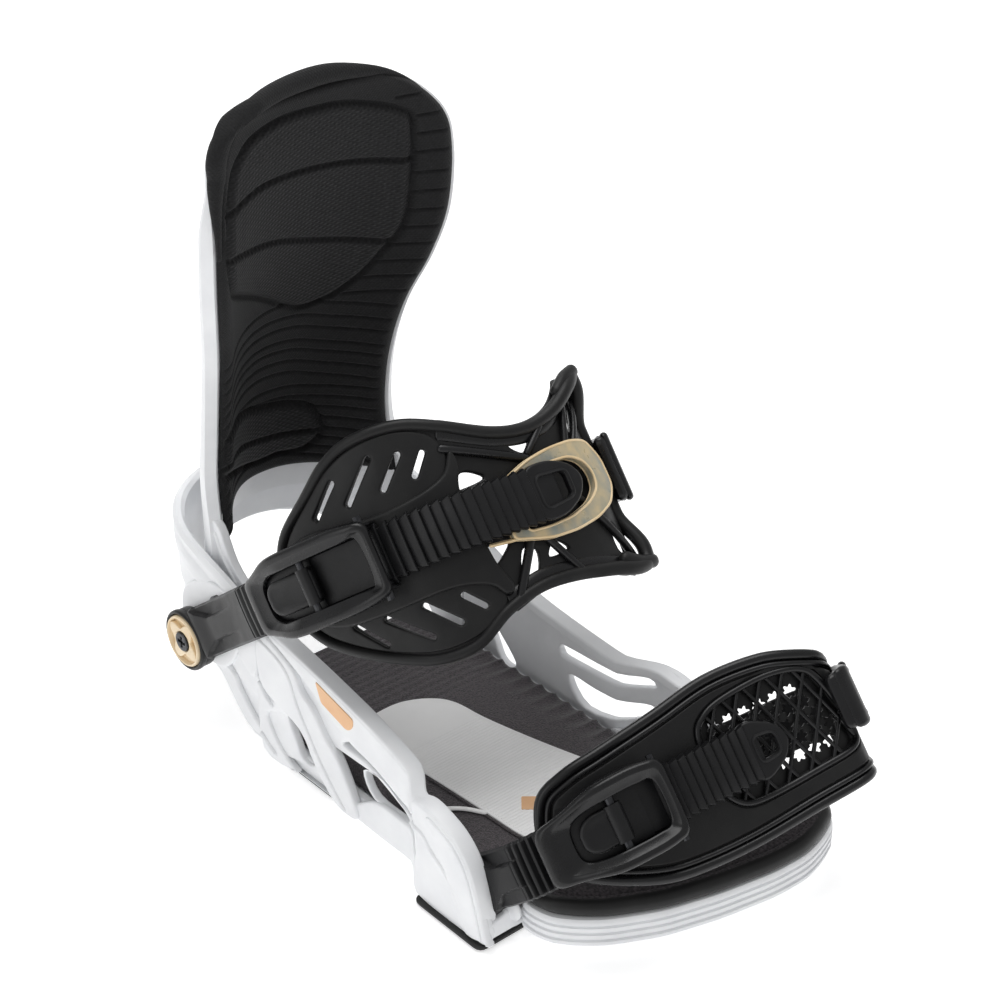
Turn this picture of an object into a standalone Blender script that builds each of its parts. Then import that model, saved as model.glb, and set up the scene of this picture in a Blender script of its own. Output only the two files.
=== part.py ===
"""Snowboard binding for a right boot. Metres, +Z up, toe towards -Y, inner (medial) side towards +X.

The origin is the centre of the mounting disc on the board's top surface. The straps are shown closed.
Each strap is drawn flat in its own strap space (along, across, out) and then laid on its arch.
"""
import math

import bmesh
import bpy
from mathutils import Vector

# ---- Driving dimensions -----------------------------------------------------------------------
GAP = 0.0003                      # clearance between touching pieces

RUBBER_TOP = 0.0025               # pads under the base
TRAY_BOTTOM = RUBBER_TOP + GAP
TRAY_TOP = 0.0090
TRAY_HALF_WIDTH = 0.0505
TRAY_TOE_HALF_WIDTH = 0.0555
TRAY_TOE_Y = -0.0880
TRAY_HEEL_Y = 0.0660
FOOTBED_TOP = 0.0190

WALL_OUTSIDE = 0.0575             # outer face of rails and heel loop
WALL_INSIDE = 0.0525
POST_OUTSIDE = 0.0675             # the toe posts stand wider than the rails
POST_INSIDE = 0.0625
INSERT_START = 0.0630             # the threaded insert that takes the toe screw, in a blind hole in the post
INSERT_RADIUS = 0.0049
SPLIT_Y = 0.0660                  # rails end here and the heel loop starts
LOOP_BEND_Y = 0.1120              # the loop is straight up to here, then elliptical
LOOP_BACK_Y = 0.1570

DISC_RADIUS = 0.0455
DISC_BOSS_RADIUS = 0.0395
DISC_STEP = 0.0058
DISC_TOP = 0.0088
BOARD_HOLE_PITCH = 0.0400
BOARD_HOLE_RADIUS = 0.0035

RAMP_BACK_Y = TRAY_TOE_Y - 0.0006
RAMP_BOTTOM = 0.0035
RAMP_FRAME_TOP = 0.0165
RAMP_PAD_TOP = 0.0240

PIVOT_Y, PIVOT_Z = 0.0900, 0.0600         # highback hinge
SHELL_THICKNESS = 0.0035
LINER_THICKNESS = 0.0060

ANKLE_BOLT = Vector((0.0, 0.1050, 0.0420))
ANKLE_TILT = math.radians(37.5)
TOE_BOLT = Vector((0.0, -0.0750, 0.0190))
TOE_TILT = math.radians(39.0)
LADDER_WIDTH = 0.0230
LADDER_THICKNESS = 0.0030

# Strap lines as (sideways, rise) from the outer bolt over the boot to the inner bolt.
ANKLE_LINE = [(-.062, 0), (-.062, .045), (-.059, .075), (-.053, .100), (-.044, .119), (-.030, .135),
              (-.012, .145), (.008, .149), (.026, .150), (.043, .149), (.056, .144), (.065, .133),
              (.0685, .117), (.068, .098), (.0655, .075), (.064, .050), (.064, 0)]
TOE_LINE = [(-.058, 0), (-.058, .007), (-.056, .016), (-.050, .027), (-.040, .038), (-.026, .047),
            (-.008, .053), (.010, .058), (.030, .064), (.046, .070), (.060, .076), (.070, .078),
            (.0765, .0725), (.0785, .062), (.077, .050), (.070, .036), (.0605, .022), (.0585, .012),
            (.0585, 0)]

# Highback section by height: (height, half width, edge y, centre y).
HIGHBACK = [(.072, .0470, .1000, .1430), (.090, .0462, .1020, .1400), (.110, .0447, .1055, .1360),
            (.130, .0442, .1040, .1310), (.150, .0452, .1000, .1250), (.170, .0481, .0935, .1180),
            (.190, .0535, .0845, .1105), (.210, .0573, .0780, .1035), (.230, .0582, .0753, .0975),
            (.246, .0578, .0757, .0930), (.259, .0550, .0765, .0895), (.270, .0460, .0785, .0865),
            (.277, .0300, .0800, .0845)]

WHITE_NYLON = ((0.84, 0.86, 0.88), 0.42, 0.0)
BLACK_NYLON = ((0.018, 0.018, 0.020), 0.45, 0.0)
BLACK_RUBBER = ((0.022, 0.022, 0.023), 0.75, 0.0)
DARK_FOAM = ((0.035, 0.035, 0.037), 0.90, 0.0)
AMBER_TPU = ((0.78, 0.62, 0.40), 0.35, 0.0)
CREAM_METAL = ((0.80, 0.68, 0.47), 0.40, 0.3)
DARK_STEEL = ((0.06, 0.06, 0.065), 0.35, 1.0)
BRIGHT_STEEL = ((0.62, 0.62, 0.63), 0.30, 1.0)
DARK_ALUMINIUM = ((0.05, 0.05, 0.055), 0.38, 1.0)

SIDES = (("outer", -1), ("inner", 1))


# ---- Scene and object helpers -----------------------------------------------------------------
def clear_scene():
    for old in list(bpy.data.objects):
        bpy.data.objects.remove(old, do_unlink=True)


def principled(name, finish):
    colour, roughness, metallic = finish
    material = bpy.data.materials.new(name)
    material.use_nodes = True
    shader = material.node_tree.nodes["Principled BSDF"]
    shader.inputs["Base Color"].default_value = (*colour, 1.0)
    shader.inputs["Roughness"].default_value = roughness
    shader.inputs["Metallic"].default_value = metallic
    return material


def make_object(name, bm, finish=None, pivot=None, smooth=None):
    """Turns a bmesh into an object with its origin on pivot; no finish means a cutter or a guide."""
    bmesh.ops.recalc_face_normals(bm, faces=bm.faces)
    if pivot is not None:
        bmesh.ops.translate(bm, verts=bm.verts, vec=-Vector(pivot))
    mesh = bpy.data.meshes.new(name)
    bm.to_mesh(mesh)
    bm.free()
    piece = bpy.data.objects.new(name, mesh)
    bpy.context.scene.collection.objects.link(piece)
    if pivot is not None:
        piece.location = pivot
    if finish is None:
        piece.hide_render = True
        piece.display_type = "WIRE"
    else:
        mesh.materials.append(principled(name, finish))
    if smooth is not None:
        mesh.shade_smooth()
        mesh.set_sharp_from_angle(angle=math.radians(smooth))
    return piece


def modify(piece, tool, operation):
    step = piece.modifiers.new(operation.title(), "BOOLEAN")
    step.operation = operation
    step.object = tool
    return piece


def cut(piece, *tools):
    for tool in tools:
        modify(piece, tool, "DIFFERENCE")
    return piece


def join(piece, *tools):
    for tool in tools:
        modify(piece, tool, "UNION")
    return piece


def evaluated(piece):
    """The piece's modified mesh as a triangulated bmesh, ready to be bent."""
    bm = bmesh.new()
    bm.from_object(piece, bpy.context.evaluated_depsgraph_get())
    bmesh.ops.remove_doubles(bm, verts=bm.verts, dist=1e-6)
    bmesh.ops.triangulate(bm, faces=bm.faces)
    return bm


# ---- Shapes -------------------------------------------------------------------------------------
def rounded(points, radius, steps=3):
    """Rounds every corner of a closed outline with a quadratic curve."""
    result = []
    count = len(points)
    for i, corner in enumerate(points):
        here = Vector(corner)
        before = Vector(points[i - 1]) - here
        after = Vector(points[(i + 1) % count]) - here
        reach = min(radius, before.length * 0.45, after.length * 0.45)
        start = here + before.normalized() * reach
        end = here + after.normalized() * reach
        for k in range(steps + 1):
            f = k / steps
            result.append(start * (1 - f) ** 2 + here * 2 * f * (1 - f) + end * f ** 2)
    return result


def prism(outline, axis, low, high):
    """Extrudes a closed 2-D outline along x, y or z."""
    def place(a, b, depth):
        return {"x": (depth, a, b), "y": (a, depth, b), "z": (a, b, depth)}[axis]

    bm = bmesh.new()
    ends = [[bm.verts.new(place(p[0], p[1], depth)) for p in outline] for depth in (low, high)]
    bm.faces.new(ends[0])
    bm.faces.new(list(reversed(ends[1])))
    for i in range(len(outline)):
        j = (i + 1) % len(outline)
        bm.faces.new((ends[0][j], ends[0][i], ends[1][i], ends[1][j]))
    return bm


def box(low, high):
    corners = [(low[0], low[1]), (high[0], low[1]), (high[0], high[1]), (low[0], high[1])]
    return prism(corners, "z", low[2], high[2])


def circle(radius, count, centre=(0.0, 0.0)):
    step = 2 * math.pi / count
    return [(centre[0] + radius * math.cos(i * step), centre[1] + radius * math.sin(i * step))
            for i in range(count)]


def turned(profile, origin, direction, count=24, ring=False):
    """Turns a (radius, distance) profile, which starts and ends on the axis, or is a closed ring."""
    axis = Vector(direction).normalized()
    side = axis.orthogonal().normalized()
    other = axis.cross(side)
    bm = bmesh.new()
    rings = []
    for radius, distance in profile:
        centre = Vector(origin) + axis * distance
        if radius == 0:
            rings.append([bm.verts.new(centre)])
            continue
        rings.append([bm.verts.new(centre + (side * math.cos(a) + other * math.sin(a)) * radius)
                      for a in (2 * math.pi * k / count for k in range(count))])
    if ring:
        rings.append(rings[0])
    for lower, upper in zip(rings, rings[1:]):
        for k in range(count):
            j = (k + 1) % count
            if len(lower) == 1:
                bm.faces.new((lower[0], upper[j], upper[k]))
            elif len(upper) == 1:
                bm.faces.new((lower[k], lower[j], upper[0]))
            else:
                bm.faces.new((lower[k], lower[j], upper[j], upper[k]))
    return bm


# ---- Strap space --------------------------------------------------------------------------------
def smooth_line(points, steps=10):
    """A Catmull-Rom curve through 2-D points."""
    pts = [Vector(p) for p in points]
    pts = [pts[0] * 2 - pts[1]] + pts + [pts[-1] * 2 - pts[-2]]
    line = []
    for p0, p1, p2, p3 in zip(pts, pts[1:], pts[2:], pts[3:]):
        for k in range(steps):
            f = k / steps
            line.append(0.5 * (2 * p1 + (p2 - p0) * f + (2 * p0 - 5 * p1 + 4 * p2 - p3) * f * f
                               + (3 * p1 - 3 * p2 + p3 - p0) * f ** 3))
    line.append(pts[-2])
    return line


def ease(value, low, high):
    f = min(1.0, max(0.0, (value - low) / (high - low)))
    return f * f * (3 - 2 * f)


class Strap:
    """Maps strap space (along the arch from the outer bolt, across towards the shin, out) to the world.

    lift is (start, end, height): from start to end along the arch the ladder climbs to height.
    drift is (start, end, distance): over that stretch the ladder moves across by distance.
    """

    def __init__(self, bolt, tilt, points, lift, drift):
        self.bolt = bolt
        self.rise = Vector((0.0, -math.cos(tilt), math.sin(tilt)))
        self.across = Vector((0.0, math.sin(tilt), math.cos(tilt)))
        self.line = smooth_line(points)
        self.lift = lift
        self.drift = drift
        self.length = [0.0]
        for a, b in zip(self.line, self.line[1:]):
            self.length.append(self.length[-1] + (b - a).length)

    def ladder_shift(self, along):
        """How far the ladder's middle lies across and out from the arch."""
        start, end, height = self.lift
        drift_start, drift_end, distance = self.drift
        return (distance * ease(along, drift_start, drift_end),
                0.0015 + (height - 0.0015) * ease(along, start, end))

    def place(self, along, across, out):
        i = 0
        while i < len(self.line) - 2 and along > self.length[i + 1]:
            i += 1
        a, b = self.line[i], self.line[i + 1]
        f = (along - self.length[i]) / (self.length[i + 1] - self.length[i])
        point = a + (b - a) * f
        tangents = [(self.line[min(k + 1, len(self.line) - 1)] - self.line[max(k - 1, 0)]).normalized()
                    for k in (i, i + 1)]
        tangent = tangents[0].lerp(tangents[1], min(1.0, max(0.0, f))).normalized()
        point = point + Vector((-tangent.y, tangent.x)) * out
        return self.bolt + Vector((point.x, 0, 0)) + self.rise * point.y + self.across * across

    def lay(self, name, flat, finish, shift=None, step=0.010, pivot=None, smooth=40):
        """Cuts a flat piece across its length, so that it can bend, and lays it on the arch.

        shift gives, for a place along the arch, how far the piece moves across and out.
        """
        bm = evaluated(flat) if isinstance(flat, bpy.types.Object) else flat
        spans = [v.co.x for v in bm.verts]
        start = math.floor(min(spans) / step)
        for k in range(start + 1, math.ceil(max(spans) / step)):
            everything = bm.verts[:] + bm.edges[:] + bm.faces[:]
            bmesh.ops.bisect_plane(bm, geom=everything, plane_co=(k * step, 0, 0), plane_no=(1, 0, 0))
        for vert in bm.verts:
            along, across, out = vert.co
            if shift is not None:
                across += shift(along)[0]
                out += shift(along)[1]
            vert.co = self.place(along, across, out)
        bmesh.ops.triangulate(bm, faces=bm.faces)
        return make_object(name, bm, finish, pivot=pivot, smooth=smooth)


def flat_outline(name, outline, low, high):
    """A cutter or blank in strap space: an (along, across) outline between two heights."""
    return make_object(name, prism(outline, "z", low, high))


def slot_outline(start, end, width):
    """A round-ended slot between two points."""
    a, b = Vector(start), Vector(end)
    way = (b - a).normalized()
    side = Vector((-way.y, way.x)) * width / 2
    corners = [a - way * width / 2 + side, a - way * width / 2 - side,
               b + way * width / 2 - side, b + way * width / 2 + side]
    return rounded(corners, width * 0.45, 2)


ANKLE = Strap(ANKLE_BOLT, ANKLE_TILT, ANKLE_LINE, (0.040, 0.088, 0.0085), (0.150, 0.205, -0.0030))
TOE = Strap(TOE_BOLT, TOE_TILT, TOE_LINE, (0.006, 0.040, 0.0085), (0.015, 0.070, 0.0040))


# ---- Base: tray, rails, heel loop, footbed ------------------------------------------------------
def build_baseplate():
    outline = [(-TRAY_HALF_WIDTH, TRAY_HEEL_Y), (-TRAY_HALF_WIDTH, -0.040), (-TRAY_TOE_HALF_WIDTH, -0.050),
               (-TRAY_TOE_HALF_WIDTH, TRAY_TOE_Y)]
    outline += [(-x, y) for x, y in reversed(outline)]
    tray = make_object("baseplate", prism(rounded(outline, 0.004), "z", TRAY_BOTTOM, TRAY_TOP),
                       WHITE_NYLON)
    boss_hole = make_object("tray_boss_hole", prism(circle(DISC_BOSS_RADIUS + 0.0005, 40), "z", 0.0, 0.02))
    flange_seat = make_object("tray_flange_seat",
                              prism(circle(DISC_RADIUS + 0.0005, 40), "z", DISC_STEP - GAP, 0.02))
    channel = make_object("tray_ramp_channel", box((-0.0305, -0.10, 0.0060), (0.0305, -0.0590, 0.02)))
    return cut(tray, boss_hole, flange_seat, channel)


def wall_plan():
    """The wall's plan outline: outer toe post, rail, round the heel, and back to the inner toe post."""
    def side(half, post, count):
        line = [(-post, TRAY_TOE_Y - 0.002), (-post, -0.048), (-half, -0.034), (-half, LOOP_BEND_Y)]
        depth = LOOP_BACK_Y - LOOP_BEND_Y - (WALL_OUTSIDE - half)
        for k in range(1, count):
            a = math.pi * k / count
            line.append((-half * math.cos(a), LOOP_BEND_Y + depth * math.sin(a)))
        return line + [(-x, y) for x, y in reversed(line[:4])]

    return side(WALL_OUTSIDE, POST_OUTSIDE, 16) + list(reversed(side(WALL_INSIDE, POST_INSIDE, 16)))


OUTER_PROFILE = [(-.088, TRAY_BOTTOM), (-.089, .008), (-.079, .034), (-.069, .043), (-.054, .047),
                 (-.036, .041), (-.019, .047), (-.003, .052), (.014, .057), (.030, .060), (.049, .063),
                 (SPLIT_Y, .068), (SPLIT_Y, TRAY_BOTTOM)]
INNER_PROFILE = [(-.088, TRAY_BOTTOM), (-.089, .008), (-.081, .034), (-.072, .043), (-.058, .046),
                 (-.044, .047), (-.033, .049), (-.010, .050), (.012, .052), (.030, .056), (.049, .063),
                 (SPLIT_Y, .068), (SPLIT_Y, TRAY_BOTTOM)]
LOOP_PROFILE = [(SPLIT_Y + GAP, TRAY_BOTTOM), (.079, TRAY_BOTTOM), (.088, .012), (.097, .024),
                (.112, .029), (.128, .034), (.142, .045), (.150, .053), (.160, .057), (.160, .091),
                (.140, .090), (.120, .086), (.102, .080), (.085, .075), (SPLIT_Y + GAP, .068)]
OUTER_WINDOWS = [[(.040, .012), (.060, .013), (.062, .029), (.056, .033), (.046, .026)],
                 [(.009, .043), (-.010, .037), (-.029, .032), (-.032, .026), (-.012, .021), (.001, .031)]]
INNER_WINDOWS = [[(.040, .012), (.060, .013), (.062, .029), (.056, .033), (.046, .026)],
                 [(.002, .041), (-.020, .041), (-.042, .042), (-.045, .037), (-.022, .034), (.001, .033)],
                 [(-.006, .026), (-.026, .028), (-.044, .029), (-.044, .024), (-.014, .016)]]


def build_wall(name, profile, low_x, high_x, windows=()):
    """One stretch of the wall: the plan's wall, kept only inside a side profile."""
    wall = make_object(name, prism(wall_plan(), "z", 0.0, 0.12), WHITE_NYLON)
    keep = make_object(name + "_profile", prism(rounded(profile, 0.003, 3), "x", low_x, high_x))
    modify(wall, keep, "INTERSECT")
    for i, window in enumerate(windows):
        cut(wall, make_object(f"{name}_window_{i}", prism(rounded(window, 0.004), "x", low_x, high_x)))
    return wall


def side_bore(name, side, y, z, radius, start=0.045, end=0.075):
    return make_object(f"{name}_{side}", turned([(0, start), (radius, start), (radius, end), (0, end)],
                                                (0, y, z), (side, 0, 0), 16))


def build_rails():
    for (label, side), profile, windows in zip(SIDES, (OUTER_PROFILE, INNER_PROFILE),
                                               (OUTER_WINDOWS, INNER_WINDOWS)):
        name = label + "_rail"
        low_x, high_x = sorted((side * 0.040, side * 0.080))
        rail = build_wall(name, profile, low_x, high_x, windows)
        ledge_plan = [(side * (TRAY_HALF_WIDTH + GAP), SPLIT_Y), (side * (WALL_INSIDE + 0.001), SPLIT_Y),
                      (side * (WALL_INSIDE + 0.001), -0.036), (side * (TRAY_HALF_WIDTH + GAP), -0.036)]
        ledge = make_object(name + "_ledge", prism(ledge_plan, "z", TRAY_BOTTOM, TRAY_TOP + 0.004))
        join(rail, ledge)
        cut(rail, side_bore(name + "_strap_hole", side, TOE_BOLT.y, TOE_BOLT.z, 0.0034, 0.0450, 0.0663),
            side_bore(name + "_insert_hole", side, TOE_BOLT.y, TOE_BOLT.z, INSERT_RADIUS + GAP, 0.0450,
                      INSERT_START + 0.0025 + GAP))


def build_heel_loop():
    loop = build_wall("heel_loop", LOOP_PROFILE, -0.080, 0.080)
    for side in (-1, 1):
        cut(loop, side_bore("loop_strap_hole", side, ANKLE_BOLT.y, ANKLE_BOLT.z, 0.0034),
            side_bore("loop_pivot_hole", side, PIVOT_Y, PIVOT_Z, 0.0034))


def build_footbed():
    outline = [(-.0490, .071), (-.0490, -.0400), (-.0530, -.052), (-.0530, -.0865), (.0530, -.0865),
               (.0530, -.052), (.0490, -.0400), (.0490, .071), (.030, .078), (-.030, .078)]
    make_object("footbed_pad", prism(rounded(outline, 0.006), "z", TRAY_TOP + GAP, FOOTBED_TOP), DARK_FOAM)
    insert = [(.003, .034), (-.030, .011), (-.027, -.043), (-.024, -.083), (.036, -.083), (.025, -.043),
              (.015, .005)]
    make_object("footbed_insert", prism(rounded(insert, 0.006), "z", FOOTBED_TOP + GAP, FOOTBED_TOP + 0.0013),
                WHITE_NYLON)


def build_rubber():
    toe = [(-.066, -.088), (.066, -.088), (.066, -.056), (-.066, -.056)]
    heel = [(-.056, .050), (.056, .050), (.056, .078), (-.056, .078)]
    make_object("toe_rubber", prism(rounded(toe, 0.004), "z", 0.0, RUBBER_TOP), BLACK_RUBBER)
    make_object("heel_rubber", prism(rounded(heel, 0.004), "z", 0.0, RUBBER_TOP), BLACK_RUBBER)


def build_disc():
    profile = [(0, 0), (DISC_BOSS_RADIUS, 0), (DISC_BOSS_RADIUS, DISC_STEP), (DISC_RADIUS, DISC_STEP),
               (DISC_RADIUS, DISC_TOP), (0, DISC_TOP)]
    disc = make_object("mounting_disc", turned(profile, (0, 0, 0), (0, 0, 1), 40), BLACK_NYLON, smooth=30)
    half = BOARD_HOLE_PITCH / 2
    for i, (x, y) in enumerate(((half, half), (-half, half), (-half, -half), (half, -half))):
        bore = [(0, -0.01), (BOARD_HOLE_RADIUS, -0.01), (BOARD_HOLE_RADIUS, 0.0045), (0.0062, 0.0046),
                (0.0062, 0.02), (0, 0.02)]
        cut(disc, make_object(f"disc_hole_{i}", turned(bore, (x, y, 0), (0, 0, 1), 12)))


# ---- Toe ramp -------------------------------------------------------------------------------------
def build_toe_ramp():
    front = [(.0555, RAMP_BACK_Y), (.066, -.104), (.073, -.116), (.0745, -.127), (.070, -.1355),
             (.060, -.141), (.050, -.143), (.033, -.142), (.008, -.137), (-.015, -.130),
             (-.034, -.120), (-.042, -.1135), (-.049, -.106), (-.052, -.099), (-.052, RAMP_BACK_Y)]
    frame = make_object("toe_ramp", prism(rounded(front, 0.004, 2), "z", RAMP_BOTTOM, RAMP_FRAME_TOP),
                        WHITE_NYLON)
    hollow = [(.050, RAMP_BACK_Y - 0.006), (.064, -.122), (.048, -.136), (.008, -.131), (-.030, -.116),
              (-.044, RAMP_BACK_Y - 0.006)]
    cut(frame, make_object("ramp_hollow", prism(rounded(hollow, 0.006, 3), "z", -0.01, 0.0125)))
    join(frame, make_object("ramp_tongue", box((-.0300, RAMP_BACK_Y - 0.006, 0.0063),
                                               (.0300, -.0615, 0.0087))))
    inset = [(x * (0.985 if y < -0.098 else 0.920), y) for x, y in front]
    make_object("toe_ramp_pad", prism(rounded(inset, 0.004, 2), "z", RAMP_FRAME_TOP + GAP, RAMP_PAD_TOP),
                DARK_FOAM)


# ---- Highback -------------------------------------------------------------------------------------
def highback_point(row, u, inward):
    """A point of the highback's inner face at u in -1..1 across, moved inward along the section."""
    height, half, edge_y, centre_y = row
    depth = centre_y - edge_y
    x = half * u
    y = centre_y - depth * abs(u) ** 2.2
    slope = -depth * 2.2 * abs(u) ** 1.2 * math.copysign(1.0, u) / half
    normal = Vector((slope, -1.0, 0.0)).normalized()
    return Vector((x, y, height)) + normal * inward


def sheet_between(rows, near, far, across=12):
    """A closed curved slab between two offsets of the highback's inner face."""
    bm = bmesh.new()
    faces = []
    for inward in (near, far):
        faces.append([[bm.verts.new(highback_point(row, 2 * k / across - 1, inward))
                       for k in range(across + 1)] for row in rows])
    front, back = faces
    last = len(rows) - 1
    for i in range(last):
        for k in range(across):
            bm.faces.new((front[i][k], front[i][k + 1], front[i + 1][k + 1], front[i + 1][k]))
            bm.faces.new((back[i][k], back[i + 1][k], back[i + 1][k + 1], back[i][k + 1]))
        for k in (0, across):
            bm.faces.new((front[i][k], front[i + 1][k], back[i + 1][k], back[i][k]))
    for i in (0, last):
        for k in range(across):
            bm.faces.new((front[i][k], front[i][k + 1], back[i][k + 1], back[i][k]))
    return bm


def build_highback():
    pivot = (0, PIVOT_Y, PIVOT_Z)
    shell = make_object("highback_shell", sheet_between(HIGHBACK, -SHELL_THICKNESS, 0.0), WHITE_NYLON,
                        pivot=pivot, smooth=50)
    wing = [(.0790, .052), (.0850, .0478), (.0960, .0480), (.1030, .055), (.1090, .075), (.1080, .092),
            (.1010, .092), (.0930, .078), (.0800, .066)]
    for label, side in SIDES:
        low_x, high_x = sorted((side * 0.0500, side * 0.0455))
        tab = make_object(f"highback_{label}_wing", prism(rounded(wing, 0.005), "x", low_x, high_x))
        join(shell, tab)
        cut(shell, side_bore("wing_hole", side, PIVOT_Y, PIVOT_Z, 0.0034, 0.040, 0.060))
    rows = [(z, half - 0.0010, edge, centre) for z, half, edge, centre in HIGHBACK[1:]]
    rows[0] = (0.084, *rows[0][1:])
    make_object("highback_pad", sheet_between(rows, GAP, GAP + LINER_THICKNESS), DARK_FOAM,
                pivot=pivot, smooth=50)

    for label, side in SIDES:
        profile = [(0, 0.0425), (0.0029, 0.0425), (0.0029, 0.0578), (0.0072, 0.0578), (0.0072, 0.0592),
                   (0.0055, 0.0598), (0, 0.0598)]
        make_object(label + "_pivot_bolt", turned(profile, pivot, (side, 0, 0), 16), BRIGHT_STEEL,
                    pivot=pivot, smooth=40)
        nut = [(0.0032, 0.0430), (0.0068, 0.0430), (0.0068, 0.0451), (0.0032, 0.0451)]
        make_object(label + "_pivot_nut", turned(nut, pivot, (side, 0, 0), 12, ring=True), BRIGHT_STEEL,
                    pivot=pivot, smooth=40)


def build_lean_adjuster():
    outline = [(.1436, .0925), (.1560, .0925), (.1570, .1000), (.1500, .1240), (.1372, .1240)]
    make_object("lean_adjuster", prism(rounded(outline, 0.002, 3), "x", -0.0150, 0.0150), BLACK_NYLON,
                pivot=(0, 0.149, 0.100))


# ---- Strap pieces ---------------------------------------------------------------------------------
def build_bolts(prefix, bolt, outward, seat, screw_end, washer_radius, nut_start, nut_radius, nut_length):
    """Washer, screw and nut of a strap's bolt on both sides.

    outward is 1 where the screw's head is outside and -1 where it is inside. seat is where the washer
    lies; the other places are distances from the middle plane too.
    """
    for label, side in SIDES:
        washer = [(0.0032, 0.0), (washer_radius, 0.0), (washer_radius, 0.0018),
                  (washer_radius - 0.0008, 0.0026), (0.0048, 0.0026), (0.0048, 0.0016), (0.0032, 0.0016)]
        profile = [(radius, seat + outward * distance) for radius, distance in washer]
        make_object(f"{label}_{prefix}_washer", turned(profile, bolt, (side, 0, 0), 24, ring=True),
                    CREAM_METAL, pivot=bolt, smooth=40)
        head = seat + outward * (0.0016 + GAP)
        screw = [(0, screw_end), (0.0028, screw_end), (0.0028, head), (0.0044, head),
                 (0.0040, head + outward * 0.0010), (0, head + outward * 0.0012)]
        make_object(f"{label}_{prefix}_screw", turned(screw, bolt, (side, 0, 0), 16), DARK_STEEL,
                    pivot=bolt, smooth=40)
        nut = [(0.0031, nut_start), (nut_radius, nut_start), (nut_radius, nut_start + nut_length),
               (0.0031, nut_start + nut_length)]
        make_object(f"{label}_{prefix}_tee_nut", turned(nut, bolt, (side, 0, 0), 16, ring=True),
                    BRIGHT_STEEL, pivot=bolt, smooth=40)


def build_ladder(name, strap, end, teeth_start, teeth_end, hole):
    """The toothed strap, one moulding from its bolt eye through the buckle to its free end."""
    half = LADDER_WIDTH / 2
    outline = [(-0.0125, -half * 0.6), (-0.0125, half * 0.6), (-0.004, half), (end - 0.014, half),
               (end, half * 0.5), (end, -half * 0.5), (end - 0.014, -half), (-0.004, -half)]
    thick = LADDER_THICKNESS / 2
    blank = flat_outline(name + "_blank", rounded(outline, 0.006), -thick, thick)
    pitch = 0.0066
    count = int((teeth_end - teeth_start) / pitch)
    for k in range(count):
        start = teeth_start + k * pitch
        tooth = [(start, thick - 0.0006), (start + 0.0050, thick - 0.0006), (start + 0.0044, thick + 0.0016),
                 (start + 0.0018, thick + 0.0010)]
        width = half - 0.0022
        join(blank, make_object(f"{name}_tooth_{k}", prism(tooth, "y", -width, width)))
    eye = flat_outline(name + "_eye", circle(0.0034, 16), -0.02, 0.02)
    cut(blank, eye, flat_outline(name + "_finger_hole", rounded(hole, 0.004), -0.02, 0.02))
    strap.lay(name, blank, BLACK_NYLON, shift=strap.ladder_shift, pivot=strap.bolt)


def pin_bore(name, along, out, radius=0.0016):
    profile = [(0, -0.03), (radius, -0.03), (radius, 0.03), (0, 0.03)]
    return make_object(name, turned(profile, (along, 0, out), (0, 1, 0), 10))


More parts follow.
